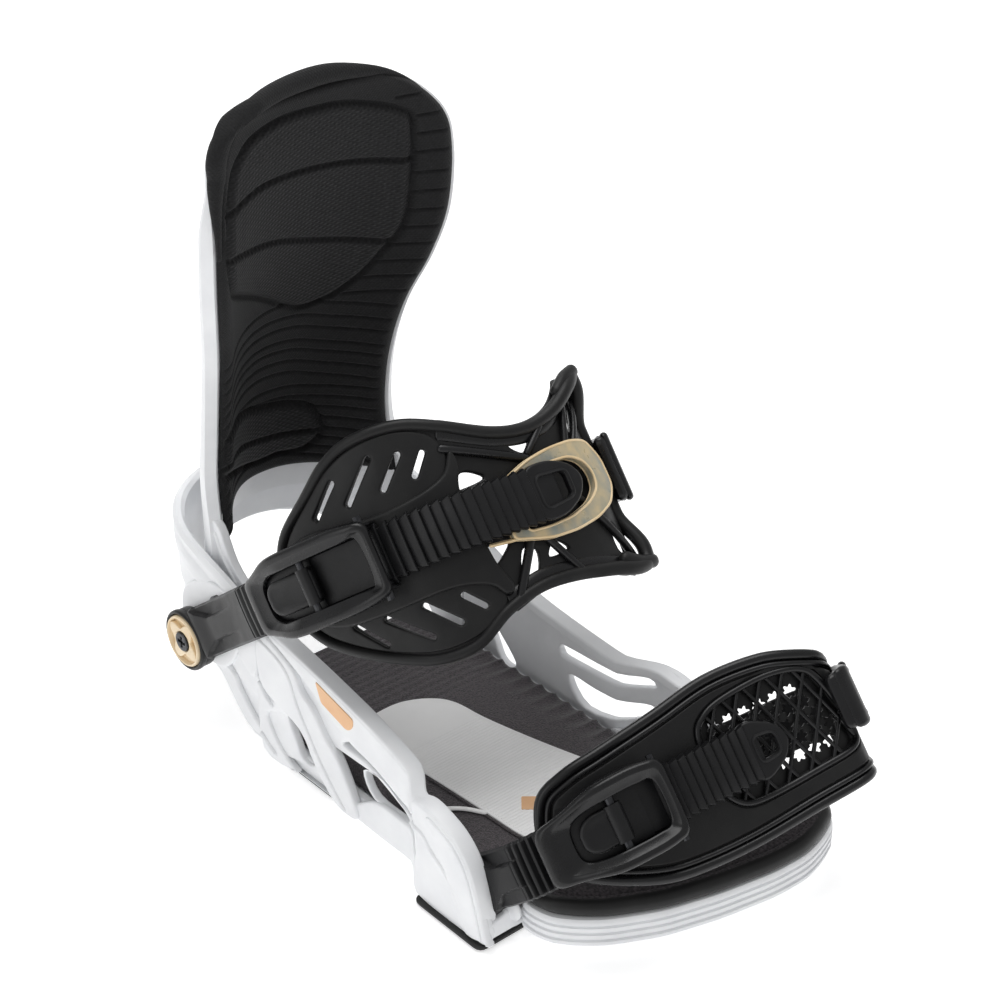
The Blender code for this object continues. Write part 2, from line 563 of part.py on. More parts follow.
def build_buckle(prefix, strap, start, end):
    """A ratchet buckle on the ladder: a base with two walls, a ring-shaped lever and a release tab."""
    wall_in, wall_out = LADDER_WIDTH / 2 + 0.0006, LADDER_WIDTH / 2 + 0.0019
    arm_in, arm_out = wall_out + GAP, wall_out + 0.0036
    under = -LADDER_THICKNESS / 2 - 0.0006
    lever_pin = (end - 0.0030, 0.0046)
    tab_pin = (end - 0.46 * (end - start), 0.0052)

    def pivot_at(pin):
        shift = strap.ladder_shift(pin[0])
        return strap.place(pin[0], shift[0], pin[1] + shift[1])

    def slabs(name, profile, low, high):
        return [make_object(f"{prefix}_{name}_{side}", prism(rounded(profile, 0.002, 2), "y",
                                                             *sorted((side * low, side * high))))
                for side in (-1, 1)]

    base = make_object(prefix + "_floor", box((start + 0.020, -wall_out, under - 0.0024),
                                              (end, wall_out, under)))
    wall = [(start + 0.022, under - 0.0024), (end, under - 0.0024), (end, 0.0018), (end - 0.0010, 0.0042),
            (end - 0.0013, 0.0055), (end - 0.0025, 0.0064), (end - 0.0090, 0.0064), (end - 0.0140, 0.0078),
            (start + 0.030, 0.0078), (start + 0.022, 0.0010)]
    join(base, *slabs("wall", wall, wall_in, wall_out))
    cut(base, pin_bore(prefix + "_base_bore", *lever_pin), pin_bore(prefix + "_tab_bore", *tab_pin))
    strap.lay(prefix + "_buckle_base", base, DARK_ALUMINIUM, shift=strap.ladder_shift, pivot=strap.bolt)

    arm = [(start + 0.018, 0.0016), (end - 0.010, 0.0008), (end + 0.0008, 0.0024), (end + 0.0012, 0.0070),
           (end - 0.004, 0.0094), (start + 0.026, 0.0088), (start + 0.018, 0.0074)]
    plate = [(start, -.0115), (start, .0115), (start + .010, .0125), (start + .019, arm_out),
             (start + .024, arm_out), (start + .024, arm_in), (start + .014, .0080),
             (start + .012, 0.0), (start + .014, -.0080), (start + .024, -arm_in),
             (start + .024, -arm_out), (start + .019, -arm_out), (start + .010, -.0125)]
    lever = make_object(prefix + "_lever_plate", prism(rounded(plate, 0.003, 3), "z", 0.0026, 0.0054))
    bar = make_object(prefix + "_lever_bar", box((end - 0.0060, -arm_in - 0.001, 0.0071),
                                                 (end - 0.0010, arm_in + 0.001, 0.0093)))
    join(lever, *slabs("arm", arm, arm_in, arm_out), bar)
    cut(lever, pin_bore(prefix + "_lever_bore", *lever_pin))
    strap.lay(prefix + "_lever", lever, BLACK_NYLON, shift=strap.ladder_shift, pivot=pivot_at(lever_pin))

    tab_half = wall_in - 0.0035
    tab_plan = [(start + 0.0135, -0.0055), (start + 0.0135, 0.0055), (start + 0.0175, tab_half),
                (tab_pin[0] + 0.0030, tab_half), (tab_pin[0] + 0.0030, -tab_half),
                (start + 0.0175, -tab_half)]
    tab = make_object(prefix + "_tab_plate", prism(rounded(tab_plan, 0.003, 3), "z", 0.0030, 0.0056))
    barrel = turned([(0, -tab_half), (0.0030, -tab_half), (0.0030, tab_half), (0, tab_half)],
                    (tab_pin[0], 0, tab_pin[1]), (0, 1, 0), 16)
    join(tab, make_object(prefix + "_tab_barrel", barrel))
    cut(tab, pin_bore(prefix + "_tab_eye", *tab_pin))
    strap.lay(prefix + "_release_tab", tab, DARK_ALUMINIUM, shift=strap.ladder_shift, pivot=pivot_at(tab_pin))

    for label, (along, out), reach in (("lever", lever_pin, arm_out), ("tab", tab_pin, wall_out)):
        pin = turned([(0, -reach), (0.0013, -reach), (0.0013, reach), (0, reach)], (along, 0, out),
                     (0, 1, 0), 10)
        strap.lay(f"{prefix}_{label}_pin", pin, BRIGHT_STEEL, shift=strap.ladder_shift, pivot=strap.bolt)


def build_connector(prefix, strap, start, across, adjuster, over_pad=0.0):
    """The inner strap from its bolt up to the length adjuster, which lies on the pad's outside.

    adjuster is its (along, across) centre; over_pad is how far the strap lies on top of the pad.
    """
    half = LADDER_WIDTH / 2 - 0.0005
    end = strap.length[-1]
    outline = [(end + 0.0125, -half * 0.6), (end + 0.0125, half * 0.6), (end + 0.004, half),
               (start + 0.012, half + across), (start, half - 0.003 + across),
               (start, -half + 0.003 + across), (start + 0.012, -half + across), (end + 0.004, -half)]
    blank = flat_outline(prefix + "_connector_blank", rounded(outline, 0.005), -0.0013, 0.0017)
    cut(blank, flat_outline(prefix + "_connector_eye", circle(0.0034, 16, (end, 0.0)), -0.02, 0.02))

    def step_down(along):
        return 0.0, 0.0043 * (1 - ease(along, start + over_pad, start + over_pad + 0.025))

    strap.lay(prefix + "_connector", blank, BLACK_NYLON, shift=step_down if over_pad else None,
              pivot=strap.bolt)
    along, middle = adjuster
    slab = [(along - .010, middle - half - .003), (along - .010, middle + half + .003),
            (along + .010, middle + half + .003), (along + .010, middle - half - .003)]
    strap.lay(prefix + "_adjuster", prism(rounded(slab, 0.003, 3), "z", 0.0042, 0.0100),
              BLACK_NYLON, pivot=strap.bolt)


def build_ankle_strap():
    outline = [(.080, -.006), (.084, .010), (.092, .022), (.110, .033), (.124, .043), (.138, .048),
               (.156, .046), (.172, .038), (.190, .028), (.206, .024), (.220, .028), (.232, .036),
               (.240, .036), (.243, .024), (.246, .008), (.246, -.012), (.243, -.030), (.240, -.046),
               (.230, -.048), (.216, -.044), (.200, -.040), (.184, -.038), (.168, -.041), (.152, -.049),
               (.136, -.048), (.120, -.041), (.104, -.032), (.090, -.022)]
    pad = flat_outline("ankle_pad_blank", rounded(outline, 0.008, 1), -0.0025, 0.0025)
    slots = (((.112, .023), (.124, .033)), ((.127, .023), (.141, .036)), ((.142, .023), (.152, .033)),
             ((.155, .023), (.161, .030)), ((.109, -.022), (.119, -.033)), ((.123, -.024), (.137, -.037)),
             ((.139, -.025), (.149, -.036)), ((.154, -.027), (.160, -.034)))
    for i, (start, end) in enumerate(slots):
        cut(pad, flat_outline(f"ankle_pad_slot_{i}", slot_outline(start, end, 0.0032), -0.01, 0.01))
    ANKLE.lay("ankle_strap_pad", pad, BLACK_RUBBER, pivot=ANKLE.bolt)
    build_ladder("ankle_ladder", ANKLE, 0.216, 0.138, 0.198,
                 [(.197, -.0045), (.197, .0045), (.209, .0035), (.209, -.0035)])
    build_buckle("ankle", ANKLE, 0.072, 0.135)
    loop = [(.190, -.0185), (.190, .0185), (.215, .0150), (.228, .0090), (.228, -.0090), (.215, -.0150)]
    opening = [(.194, -.0130), (.194, .0130), (.214, .0125), (.2235, .0065), (.2235, -.0065), (.214, -.0125)]
    keeper = flat_outline("ankle_keeper_blank", rounded(loop, 0.004, 3), 0.0030, 0.0064)
    cut(keeper, flat_outline("ankle_keeper_opening", rounded(opening, 0.003, 3), -0.02, 0.03))
    ANKLE.lay("ankle_keeper_loop", keeper, AMBER_TPU, pivot=ANKLE.bolt)
    build_connector("ankle", ANKLE, 0.249, -0.0050, (0.2470, -0.0050))


def build_toe_strap():
    outline = [(.034, .004), (.040, .022), (.052, .028), (.069, .030), (.093, .033), (.117, .037),
               (.142, .035), (.158, .031), (.172, .024), (.185, .015), (.194, .002), (.194, -.013),
               (.186, -.024), (.166, -.026), (.143, -.027), (.112, -.029), (.086, -.028), (.069, -.025),
               (.049, -.015), (.038, -.006)]
    pad = flat_outline("toe_pad_blank", rounded(outline, 0.006, 1), -0.0025, 0.0025)
    TOE.lay("toe_strap_pad", pad, BLACK_RUBBER, pivot=TOE.bolt)
    build_ladder("toe_ladder", TOE, 0.146, 0.086, 0.132,
                 [(.132, -.004), (.132, .004), (.141, .003), (.141, -.003)])
    build_buckle("toe", TOE, 0.036, 0.084)
    build_connector("toe", TOE, 0.1810, 0.0020, (0.1702, 0.0040), over_pad=0.018)


def build():
    clear_scene()
    build_baseplate()
    build_rails()
    build_heel_loop()
    build_footbed()
    build_rubber()
    build_disc()
    build_toe_ramp()
    build_highback()
    build_lean_adjuster()
    build_bolts("ankle", ANKLE_BOLT, outward=1, seat=0.0663, screw_end=WALL_INSIDE - 0.0024,
                washer_radius=0.0115, nut_start=WALL_INSIDE - 0.0020, nut_radius=0.0078, nut_length=0.0017)
    build_bolts("toe", TOE_BOLT, outward=-1, seat=0.0568, screw_end=0.0657, washer_radius=0.0080,
                nut_start=INSERT_START, nut_radius=INSERT_RADIUS, nut_length=0.0025)
    build_ankle_strap()
    build_toe_strap()


build()
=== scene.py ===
"""Looks of a snowboard binding for a right boot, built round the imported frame.

Metres, in the frame's axes: toe towards -Y, inner side towards +X, up +Z. Straps are drawn flat in strap
space (along from the outer bolt, across towards the shin, out) and laid on their arches; the walls are
drawn in side view (y, z, out) and draped on their plan.
"""

import math

import bmesh
import bpy
import numpy as np
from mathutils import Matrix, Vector


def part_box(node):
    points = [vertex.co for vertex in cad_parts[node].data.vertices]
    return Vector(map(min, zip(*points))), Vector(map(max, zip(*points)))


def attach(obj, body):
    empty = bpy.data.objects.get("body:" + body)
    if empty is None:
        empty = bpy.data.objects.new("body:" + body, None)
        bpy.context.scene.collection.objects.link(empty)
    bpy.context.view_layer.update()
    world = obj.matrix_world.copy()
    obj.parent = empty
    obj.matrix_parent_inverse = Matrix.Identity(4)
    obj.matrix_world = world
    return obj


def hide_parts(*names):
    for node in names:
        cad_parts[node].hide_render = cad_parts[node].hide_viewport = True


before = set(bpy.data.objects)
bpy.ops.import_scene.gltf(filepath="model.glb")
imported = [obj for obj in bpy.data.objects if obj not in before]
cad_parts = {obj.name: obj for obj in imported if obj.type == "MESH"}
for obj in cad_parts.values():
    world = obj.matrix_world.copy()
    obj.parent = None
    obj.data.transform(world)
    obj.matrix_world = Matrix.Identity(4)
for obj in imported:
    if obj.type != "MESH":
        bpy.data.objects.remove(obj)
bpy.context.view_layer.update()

WALL_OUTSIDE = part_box("heel_loop")[1].x
WALL_THICKNESS = 0.0050
POST_OUTSIDE = -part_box("outer_rail")[0].x
LOOP_BEND_Y = 0.1120
LOOP_BACK_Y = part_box("heel_loop")[1].y
SPLIT_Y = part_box("outer_rail")[1].y
LADDER_HALF = 0.0115
BOLT_HOLE = 0.0036


# ---- Curves and outlines ------------------------------------------------------------------------
def ease(value, low, high):
    """A smooth step, 0 up to low and 1 from high."""
    f = np.clip((value - low) / (high - low), 0.0, 1.0)
    return f * f * (3 - 2 * f)


def bell(value, centre, width):
    """A smooth bump, 1 at centre and 0 from width away."""
    f = np.clip(1 - np.abs(value - centre) / width, 0.0, 1.0)
    return f * f * (3 - 2 * f)


def fall(f):
    """A quarter round: 0 while f is 0 or less, then falling away to 1 where f is 1."""
    return 1 - np.sqrt(1 - np.clip(f, 0.0, 1.0) ** 2)


def catmull(points, steps=8, closed=False):
    """A Catmull-Rom curve through points of any dimension."""
    p = np.array(points, float)
    if closed:
        q = np.vstack([p[-1:], p, p[:2]])
    else:
        q = np.vstack([2 * p[:1] - p[1:2], p, 2 * p[-1:] - p[-2:-1]])
    f = np.arange(steps)[:, None] / steps
    parts = [0.5 * (2 * b + (c - a) * f + (2 * a - 5 * b + 4 * c - d) * f ** 2
                    + (3 * b - 3 * c + d - a) * f ** 3) for a, b, c, d in zip(q, q[1:], q[2:], q[3:])]
    if not closed:
        parts.append(p[-1:])
    return np.vstack(parts)


def rounded(points, radius, steps=4):
    """Rounds every corner of a closed outline with a quadratic curve."""
    p = np.array(points, float)
    result = []
    for here, before, after in zip(p, np.roll(p, 1, 0), np.roll(p, -1, 0)):
        back, ahead = before - here, after - here
        reach = min(radius, np.linalg.norm(back) * 0.45, np.linalg.norm(ahead) * 0.45)
        start = here + back / np.linalg.norm(back) * reach
        end = here + ahead / np.linalg.norm(ahead) * reach
        for k in range(steps + 1):
            f = k / steps
            result.append(start * (1 - f) ** 2 + here * 2 * f * (1 - f) + end * f ** 2)
    return np.array(result)


def resample(path, count, closed=False):
    """The same path with count evenly spaced points."""
    p = np.array(path, float)
    if closed:
        p = np.vstack([p, p[:1]])
    reach = np.concatenate([[0], np.cumsum(np.linalg.norm(np.diff(p, axis=0), axis=1))])
    goal = np.linspace(0, reach[-1], count + 1)[:-1] if closed else np.linspace(0, reach[-1], count)
    return np.stack([np.interp(goal, reach, p[:, k]) for k in range(p.shape[1])], axis=1)


def inset(outline, distance):
    """A closed outline moved inward along its normals."""
    p = np.array(outline, float)
    ahead = np.roll(p, -1, 0)
    tangent = ahead - np.roll(p, 1, 0)
    tangent /= np.linalg.norm(tangent, axis=1, keepdims=True)
    turn = np.sign(np.sum(p[:, 0] * ahead[:, 1] - ahead[:, 0] * p[:, 1]))
    return p + np.stack([-tangent[:, 1], tangent[:, 0]], 1) * distance * turn


def circle(radius, count, centre=(0.0, 0.0)):
    """A closed outline of count points round a centre."""
    a = np.arange(count) * 2 * math.pi / count
    return np.stack([centre[0] + radius * np.cos(a), centre[1] + radius * np.sin(a)], 1)


def slot(start, end, width, steps=5):
    """A round-ended slot between two points."""
    a, b = np.array(start, float), np.array(end, float)
    way = math.atan2(*(b - a)[::-1])
    turns = np.linspace(math.pi / 2, 3 * math.pi / 2, steps + 1)
    ends = [a + width / 2 * np.array([math.cos(way + t), math.sin(way + t)]) for t in turns]
    ends += [b - width / 2 * np.array([math.cos(way + t), math.sin(way + t)]) for t in turns]
    return np.array(ends)


def distance_to(points, path):
    """The distance from each 2-D point to a polyline."""
    best = np.full(len(points), 1e9)
    for a, b in zip(path, path[1:]):
        way = b - a
        f = np.clip(((points - a) @ way) / max(way @ way, 1e-12), 0, 1)
        best = np.minimum(best, np.linalg.norm(points - (a + f[:, None] * way), axis=1))
    return best


def inside(points, outline):
    """True for each 2-D point inside a closed outline."""
    x, y = points[:, 0], points[:, 1]
    result = np.zeros(len(points), bool)
    for (x0, y0), (x1, y1) in zip(outline, np.roll(outline, -1, 0)):
        crosses = (y0 > y) != (y1 > y)
        result ^= crosses & (x < (x1 - x0) * (y - y0) / (y1 - y0 + 1e-15) + x0)
    return result


def line(a, b, step=0.003):
    """A straight path from a to b, in steps of about the given length."""
    a, b = np.array(a, float), np.array(b, float)
    count = max(int(np.linalg.norm(b - a) / step), 1) + 1
    return a + np.linspace(0, 1, count)[:, None] * (b - a)


def at_height(path, height):
    """A plane path lifted to a height, which may differ from point to point."""
    return np.column_stack([path, np.broadcast_to(height, len(path))])


# ---- Closed bodies, each as (points, faces) -------------------------------------------------------
def loft(sections, closed=False):
    """Joins loops of equal length; closed joins the last loop to the first, otherwise both get caps."""
    s = np.array(sections, float)
    n, m = s.shape[:2]
    faces = []
    for i in range(n if closed else n - 1):
        a, b = i * m, ((i + 1) % n) * m
        faces += [(a + k, a + (k + 1) % m, b + (k + 1) % m, b + k) for k in range(m)]
    if not closed:
        faces += [tuple(range(m)), tuple(range((n - 1) * m, n * m))]
    return s.reshape(-1, 3), faces


def slab(top, bottom):
    """A closed body between two equal grids of points."""
    n, m = top.shape[:2]
    back = n * m
    cells = [(i * m + k, i * m + k + 1, (i + 1) * m + k + 1, (i + 1) * m + k)
             for i in range(n - 1) for k in range(m - 1)]
    faces = cells + [tuple(back + k for k in cell) for cell in cells]
    rim = list(range(m)) + [i * m + m - 1 for i in range(1, n)]
    rim += [(n - 1) * m + k for k in range(m - 2, -1, -1)] + [i * m for i in range(n - 2, 0, -1)]
    faces += [(a, b, back + b, back + a) for a, b in zip(rim, rim[1:] + rim[:1])]
    return np.concatenate([top.reshape(-1, 3), bottom.reshape(-1, 3)]), faces


def tube(path, wide, high=None, sides=10, closed=False, blunt=True):
    """Sweeps an ellipse, wide across and high upwards, along a path; blunt closes open ends in a dome."""
    p = np.array(path, float)
    if p.shape[1] == 2:
        p = np.column_stack([p, np.zeros(len(p))])
    wide = np.broadcast_to(wide, len(p)).astype(float)
    high = wide if high is None else np.broadcast_to(high, len(p)).astype(float)
    tangent = np.roll(p, -1, 0) - np.roll(p, 1, 0) if closed else np.gradient(p, axis=0)
    tangent /= np.linalg.norm(tangent, axis=1, keepdims=True)
    side = np.cross(tangent, (0, 0, 1))
    side /= np.linalg.norm(side, axis=1, keepdims=True)
    lift = np.cross(side, tangent)
    if blunt and not closed:
        dome, ahead = np.array([0.25, 0.65, 0.9]), np.array([0.97, 0.76, 0.43])
        first = p[0] - tangent[0] * high[0] * ahead[:, None]
        last = p[-1] + tangent[-1] * high[-1] * ahead[::-1, None]
        p = np.vstack([first, p, last])
        wide = np.concatenate([wide[0] * dome, wide, wide[-1] * dome[::-1]])
        high = np.concatenate([high[0] * dome, high, high[-1] * dome[::-1]])
        side = np.vstack([side[:1]] * 3 + [side] + [side[-1:]] * 3)
        lift = np.vstack([lift[:1]] * 3 + [lift] + [lift[-1:]] * 3)
    a = np.arange(sides) * 2 * math.pi / sides
    sections = (p[:, None] + side[:, None] * (np.cos(a)[None] * wide[:, None])[..., None]
                + lift[:, None] * (np.sin(a)[None] * high[:, None])[..., None])
    return loft(sections, closed)


def plate(outline, low, high, bevel=0.0006, holes=()):
    """A flat plate with rounded edges and any holes, drawn in a plane and thick along the third axis."""
    curve = bpy.data.curves.new("plate", "CURVE")
    curve.dimensions = "2D"
    curve.fill_mode = "BOTH"
    curve.extrude = max((high - low) / 2 - bevel, 1e-5)
    curve.bevel_depth = bevel
    curve.bevel_resolution = 2
    curve.offset = -bevel
    for loop in (outline, *holes):
        spline = curve.splines.new("POLY")
        spline.points.add(len(loop) - 1)
        spline.points.foreach_set("co", [c for x, y in loop for c in (x, y, 0.0, 1.0)])
        spline.use_cyclic_u = True
    holder = bpy.data.objects.new("plate", curve)
    mesh = holder.to_mesh()
    points = np.array([v.co for v in mesh.vertices]) + (0, 0, (low + high) / 2)
    faces = [tuple(p.vertices) for p in mesh.polygons]
    holder.to_mesh_clear()
    bpy.data.objects.remove(holder)
    bpy.data.curves.remove(curve)
    return points, faces


def turned(profile, count, closed=False):
    """Turns a (radius, distance) profile round the third axis; a closed profile makes a ring."""
    a = np.arange(count) * 2 * math.pi / count
    sections = [[(r * math.cos(t), r * math.sin(t), d) for r, d in profile] for t in a]
    points, faces = loft(sections, closed=True)
    if not closed:
        m = len(profile)
        faces = [f for f in faces if (f[0] % m) < m - 1]
    return points, faces


# ---- Pieces -----------------------------------------------------------------------------------------
class Piece:
    """A piece in the making: closed bodies, each in one of its materials, joined into one mesh."""

    def __init__(self, name, materials, cuts=0.003):
        self.name = name
        self.materials = materials
        self.cuts = cuts
        self.bm = bmesh.new()

    def add(self, shape, place=None, material=0, cuts=None):
        """Adds a body. place moves its points, and cuts every so far along x let a flat body bend.

        material is an index, or a function that picks one for each face from the faces' centres.
        """
        points, faces = shape
        part = bmesh.new()
        verts = [part.verts.new(p) for p in points]
        for face in faces:
            if len(set(face)) > 2:
                part.faces.new([verts[k] for k in face])
        bmesh.ops.remove_doubles(part, verts=part.verts, dist=1e-6)
        if cuts:
            spans = [v.co.x for v in part.verts]
            for k in range(math.floor(min(spans) / cuts) + 1, math.ceil(max(spans) / cuts)):
                everything = part.verts[:] + part.edges[:] + part.faces[:]
                bmesh.ops.bisect_plane(part, geom=everything, dist=1e-7, plane_co=(k * cuts, 0, 0),
                                       plane_no=(1, 0, 0))
        if callable(material):
            chosen = material(np.array([face.calc_center_median() for face in part.faces]))
        else:
            chosen = [material] * len(part.faces)
        for face, index in zip(part.faces, chosen):
            face.material_index = int(index)
        if place is not None:
            moved = place(np.array([v.co for v in part.verts]))
            for vert, point in zip(part.verts, moved):
                vert.co = point
        bmesh.ops.recalc_face_normals(part, faces=part.faces)
        holder = bpy.data.meshes.new("part")
        part.to_mesh(holder)
        part.free()
        self.bm.from_mesh(holder)
        bpy.data.meshes.remove(holder)

    def bend(self, place, outline, low, high, bevel, holes=(), material=0, cuts=None):
        """Adds a plate that bends in place, with the piece's own spacing of cuts unless told another."""
        self.add(plate(outline, low, high, bevel, holes), place, material, cuts or self.cuts)

    def finish(self, body, replaces, smooth):
        """Makes the mesh, parents it to its body's empty and hides the CAD nodes it stands for."""
        mesh = bpy.data.meshes.new(self.name)
        self.bm.to_mesh(mesh)
        self.bm.free()
        for material in self.materials:
            mesh.materials.append(material)
        mesh.shade_smooth()
        mesh.set_sharp_from_angle(angle=math.radians(smooth))
        piece = bpy.data.objects.new(self.name, mesh)
        bpy.context.scene.collection.objects.link(piece)
        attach(piece, body)
        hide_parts(*replaces)


# ---- Strap space ------------------------------------------------------------------------------------
class Strap:
    """Lays strap space on an arch, given as (x, rise) points in a plane tilted forward by degrees.

    The ladder rides on the arch: lift is its (start, end, height) and drift its (start, end, distance).
    """

    RUN_ON = 0.05
    LADDER_SEAT = 0.0015

    def __init__(self, bolt, tilt, points, lift, drift):
        self.bolt = np.array(bolt)
        tilt = math.radians(tilt)
        self.rise = np.array((0.0, -math.cos(tilt), math.sin(tilt)))
        self.across = np.array((0.0, math.sin(tilt), math.cos(tilt)))
        self.lift = lift
        self.drift = drift
        arch = catmull(points, 10)
        reach = np.concatenate([[0], np.cumsum(np.linalg.norm(np.diff(arch, axis=0), axis=1))])
        way = np.vstack([arch[1:2] - arch[:1], arch[2:] - arch[:-2], arch[-1:] - arch[-2:-1]])
        way /= np.linalg.norm(way, axis=1, keepdims=True)
        self.end = reach[-1]
        self.arch = np.vstack([arch[:1] - way[:1] * self.RUN_ON, arch, arch[-1:] + way[-1:] * self.RUN_ON])
        self.reach = np.concatenate([[-self.RUN_ON], reach, [self.end + self.RUN_ON]])
        self.way = np.vstack([way[:1], way, way[-1:]])

    def place(self, flat):
        along, across, out = flat.T
        point = [np.interp(along, self.reach, self.arch[:, k]) for k in (0, 1)]
        way = np.stack([np.interp(along, self.reach, self.way[:, k]) for k in (0, 1)], 1)
        way /= np.linalg.norm(way, axis=1, keepdims=True)
        x = point[0] - way[:, 1] * out
        s = point[1] + way[:, 0] * out
        return self.bolt + np.outer(x, (1, 0, 0)) + np.outer(s, self.rise) + np.outer(across, self.across)

    def ladder(self, flat):
        """Places a point given relative to the ladder's own middle."""
        start, end, height = self.lift
        drift_start, drift_end, distance = self.drift
        moved = flat.copy()
        moved[:, 1] += distance * ease(flat[:, 0], drift_start, drift_end)
        moved[:, 2] += self.LADDER_SEAT + (height - self.LADDER_SEAT) * ease(flat[:, 0], start, end)
        return self.place(moved)


ANKLE = Strap((0.0, 0.1050, 0.0420), 37.5,
              [(-.062, 0), (-.062, .045), (-.059, .075), (-.053, .100), (-.044, .119), (-.030, .135),
               (-.012, .145), (.008, .149), (.026, .150), (.043, .149), (.056, .144), (.065, .133),
               (.0685, .117), (.068, .098), (.0655, .075), (.064, .050), (.064, 0)],
              (0.040, 0.088, 0.0085), (0.150, 0.205, -0.0030))
TOE = Strap((0.0, -0.0750, 0.0190), 39.0,
            [(-.058, 0), (-.058, .007), (-.056, .016), (-.050, .027), (-.040, .038), (-.026, .047),
             (-.008, .053), (.010, .058), (.030, .064), (.046, .070), (.060, .076), (.070, .078),
             (.0765, .0725), (.0785, .062), (.077, .050), (.070, .036), (.0605, .022), (.0585, .012),
             (.0585, 0)],
            (0.006, 0.040, 0.0085), (0.015, 0.070, 0.0040))


# ---- Materials --------------------------------------------------------------------------------------
class Surface:
    """A Principled material whose colour, roughness and relief come from object-space patterns.

    The pattern methods give an output socket; colour, rough and bump use one.
    """

    def __init__(self, name, roughness, metallic=0.0, coat=0.0, sheen=0.0):
        self.material = bpy.data.materials.new(name)
        self.material.use_nodes = True
        self.tree = self.material.node_tree
        self.shader = self.tree.nodes["Principled BSDF"]
        self.shader.inputs["Metallic"].default_value = metallic
        self.shader.inputs["Coat Weight"].default_value = coat
        self.shader.inputs["Coat Roughness"].default_value = 0.25
        self.shader.inputs["Sheen Weight"].default_value = sheen
        self.shader.inputs["Sheen Roughness"].default_value = 0.6
        self.shader.inputs["Roughness"].default_value = roughness
        self.coordinates = self.node("ShaderNodeTexCoord").outputs["Object"]
        self.relief = None

    def node(self, kind, **values):
        made = self.tree.nodes.new(kind)
        for key, value in values.items():
            setattr(made, key, value)
        return made

    def link(self, source, target):
        self.tree.links.new(source, target)

    def noise(self, scale, detail=3.0, stretch=(1, 1, 1)):
        texture = self.node("ShaderNodeTexNoise")
        texture.inputs["Scale"].default_value = scale
        texture.inputs["Detail"].default_value = detail
        self.link(self.mapped(stretch), texture.inputs["Vector"])
        return texture.outputs["Fac"]

    def mapped(self, stretch=(1, 1, 1), turn=(0, 0, 0)):
        mapping = self.node("ShaderNodeMapping")
        mapping.inputs["Scale"].default_value = stretch
        mapping.inputs["Rotation"].default_value = [math.radians(a) for a in turn]
        self.link(self.coordinates, mapping.inputs["Vector"])
        return mapping.outputs["Vector"]

    def cells(self, scale):
        texture = self.node("ShaderNodeTexVoronoi")
        texture.inputs["Scale"].default_value = scale
        self.link(self.coordinates, texture.inputs["Vector"])
        return texture.outputs["Distance"]

    def bands(self, pitch, turn):
        """Parallel bands, pitch apart, across the x axis turned by degrees about each axis."""
        texture = self.node("ShaderNodeTexWave", wave_type="BANDS", bands_direction="X")
        texture.inputs["Scale"].default_value = 2 * math.pi / (20 * pitch)
        self.link(self.mapped(turn=turn), texture.inputs["Vector"])
        return texture.outputs["Fac"]

    def multiply(self, a, b):
        made = self.node("ShaderNodeMath", operation="MULTIPLY")
        self.link(a, made.inputs[0])
        self.link(b, made.inputs[1])
        return made.outputs["Value"]

    def blend(self, factor, low, high, start=0.3, end=0.7):
        """A colour that runs from low to high with factor."""
        ramp = self.node("ShaderNodeValToRGB")
        ramp.color_ramp.elements[0].position = start
        ramp.color_ramp.elements[1].position = end
        ramp.color_ramp.elements[0].color = (*low, 1.0)
        ramp.color_ramp.elements[1].color = (*high, 1.0)
        self.link(factor, ramp.inputs["Fac"])
        return ramp.outputs["Color"]

    def colour(self, source):
        self.link(source, self.shader.inputs["Base Color"])
        return self

    def rough(self, factor, low, high):
        spread = self.node("ShaderNodeMapRange")
        spread.inputs["To Min"].default_value = low
        spread.inputs["To Max"].default_value = high
        self.link(factor, spread.inputs["Value"])
        self.link(spread.outputs["Result"], self.shader.inputs["Roughness"])
        return self

    def bump(self, height, depth, strength=0.5):
        """Adds relief of the given depth in metres, on top of any relief set before."""
        made = self.node("ShaderNodeBump")
        made.inputs["Distance"].default_value = depth
        made.inputs["Strength"].default_value = strength
        self.link(height, made.inputs["Height"])
        if self.relief is not None:
            self.link(self.relief, made.inputs["Normal"])
        self.relief = made.outputs["Normal"]
        self.link(self.relief, self.shader.inputs["Normal"])
        return self


def moulded(name, low, high, roughness, grain=2600, depth=0.00012, sheen=0.0, specular=0.5):
    """Moulded plastic or rubber: clouded colour, spark-eroded grain, handling scuffs in the gloss."""
    surface = Surface(name, roughness, sheen=sheen)
    surface.shader.inputs["Specular IOR Level"].default_value = specular
    surface.colour(surface.blend(surface.noise(70, 4.0), low, high))
    surface.rough(surface.noise(240, 5.0, (1, 1, 0.4)), roughness - 0.09, roughness + 0.12)
    surface.bump(surface.noise(60, 2.0), 0.0004, 0.12)
    surface.bump(surface.noise(grain, 3.0), depth, 0.45)
    return surface.material


def make_foam(name, low, high, pitch, turn, depth=0.0003, roughness=0.82):
    """Foam with an embossed skin of crossing bands and an open-cell grain."""
    surface = Surface(name, roughness, sheen=0.03)
    surface.shader.inputs["Specular IOR Level"].default_value = 0.35
    surface.colour(surface.blend(surface.noise(900, 3.0), low, high, 0.35, 0.75))
    crossing = surface.multiply(surface.bands(pitch, (0, turn, 0)), surface.bands(pitch, (0, -turn, 0)))
    surface.bump(crossing, depth, 0.55)
    surface.bump(surface.cells(1500), 0.00012, 0.5)
    return surface.material


